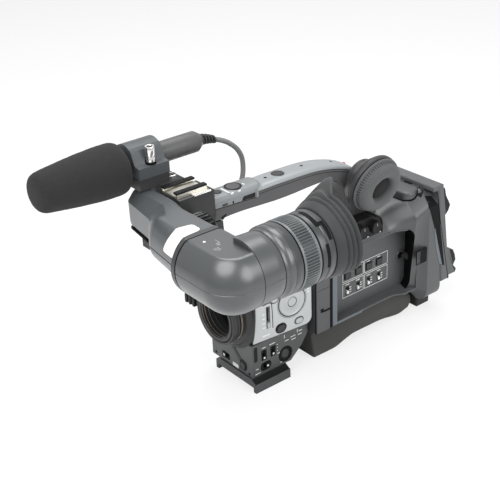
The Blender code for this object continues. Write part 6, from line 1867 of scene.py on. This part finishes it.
class CAMCORDER_OT_stage(bpy.types.Operator):
    """Pale floor, soft light and the camera"""

    bl_idname = "camcorder.stage"
    bl_label = "Stage"

    def execute(self, context):
        self.camera(context)
        self.floor(context)
        self.light(context, "key_light", (0.35, -0.95, 1.55), (0.05, 0.0, 0.1), 1.6, 36.0)
        self.light(context, "side_light", (1.5, 0.35, 0.95), (0.0, 0.05, 0.1), 1.2, 19.0)
        self.light(context, "top_light", (-0.5, 0.5, 1.7), (0.0, 0.0, 0.12), 1.2, 18.0)
        self.world(context)
        context.scene.view_settings.view_transform = "Standard"
        return {"FINISHED"}

    def camera(self, context):
        data = bpy.data.cameras.new("camera")
        data.lens = 74.35
        data.sensor_width = 36.0
        data.clip_start = 0.01
        camera = bpy.data.objects.new("camera", data)
        ahead = Vector((-0.7020, 0.5428, -0.4610)).normalized()
        right = Vector((0.6117, 0.7911, 0.0)).normalized()
        right = (right - ahead * right.dot(ahead)).normalized()
        up = right.cross(ahead)
        roll = math.radians(-2.523)
        turned_right = right * math.cos(roll) + up * math.sin(roll)
        turned_up = up * math.cos(roll) - right * math.sin(roll)
        matrix = Matrix((turned_right, turned_up, -ahead)).transposed().to_4x4()
        matrix.translation = Vector((0.6396, -0.4940, 0.550))
        camera.matrix_world = matrix
        context.scene.collection.objects.link(camera)
        context.scene.camera = camera

    def floor(self, context):
        bm = bmesh.new()
        bmesh.ops.create_circle(bm, cap_ends=True, segments=96, radius=6.0)
        mesh = bpy.data.meshes.new("floor")
        bm.to_mesh(mesh)
        bm.free()
        floor = bpy.data.objects.new("floor", mesh)
        floor.location.z = cad_low[2] - FLOOR_DROP
        context.scene.collection.objects.link(floor)
        finish = Finish("floor", Base_Color=(0.92, 0.92, 0.92, 1.0), Roughness=0.9, Specular_IOR_Level=0.0)
        seen = finish.node("ShaderNodeLightPath", {}, {}, "Is Camera Ray")
        glow = finish.node("ShaderNodeEmission", {}, {"Color": (1.0, 1.0, 1.0, 1.0), "Strength": 1.0})
        plain_floor = Wire(finish, finish.shader.outputs[0])
        both = finish.node("ShaderNodeMixShader", {}, {0: seen * FLOOR_GLOW, 1: plain_floor, 2: glow})
        finish.feed(finish.tree.nodes["Material Output"].inputs["Surface"], both)
        mesh.materials.append(finish.material)

    def light(self, context, name, place, target, size, power):
        data = bpy.data.lights.new(name, "AREA")
        data.shape = "DISK"
        data.size = size
        data.energy = power
        lamp = bpy.data.objects.new(name, data)
        lamp.location = place
        lamp.rotation_euler = (Vector(target) - Vector(place)).to_track_quat("-Z", "Y").to_euler()
        context.scene.collection.objects.link(lamp)

    def world(self, context):
        studio = Studio("studio")
        context.scene.world = studio.world
        seen = studio.node("ShaderNodeLightPath", {}, {}, "Is Camera Ray")
        seen += studio.node("ShaderNodeLightPath", {}, {}, "Is Glossy Ray")
        seen += studio.node("ShaderNodeLightPath", {}, {}, "Is Transmission Ray")
        studio.feed(studio.shader.inputs["Strength"], seen * (1 - AMBIENT) + AMBIENT)


class CAMCORDER_PT_panel(bpy.types.Panel):
    """Colours, sizes and the steps that dress the camcorder"""

    bl_label = "Camcorder"
    bl_space_type = "VIEW_3D"
    bl_region_type = "UI"
    bl_category = "Camcorder"

    def draw(self, context):
        for group in (context.scene.camcorder_colours, context.scene.camcorder_sizes):
            for name in group.__annotations__:
                self.layout.prop(group, name)
        for step in STEPS:
            self.layout.operator(step.bl_idname)


STEPS = (
    CAMCORDER_OT_stage,
    CAMCORDER_OT_cord,
    CAMCORDER_OT_viewfinder,
    CAMCORDER_OT_lock_wheel,
    CAMCORDER_OT_microphone,
    CAMCORDER_OT_handle,
    CAMCORDER_OT_speaker,
    CAMCORDER_OT_shoulder_pad,
    CAMCORDER_OT_body,
    CAMCORDER_OT_front,
)
CLASSES = (CamcorderColours, CamcorderSizes, *STEPS, CAMCORDER_PT_panel)


def register():
    for kind in CLASSES:
        bpy.utils.register_class(kind)
    bpy.types.Scene.camcorder_colours = PointerProperty(type=CamcorderColours)
    bpy.types.Scene.camcorder_sizes = PointerProperty(type=CamcorderSizes)


def unregister():
    del bpy.types.Scene.camcorder_sizes
    del bpy.types.Scene.camcorder_colours
    for kind in reversed(CLASSES):
        bpy.utils.unregister_class(kind)


def main():
    register()
    bpy.ops.camcorder.stage()
    bpy.ops.camcorder.cord()
    bpy.ops.camcorder.viewfinder()
    bpy.ops.camcorder.lock_wheel()
    bpy.ops.camcorder.microphone()
    bpy.ops.camcorder.handle()
    bpy.ops.camcorder.speaker()
    bpy.ops.camcorder.shoulder_pad()
    bpy.ops.camcorder.body()
    bpy.ops.camcorder.front()


if __name__ == "__main__":
    main()
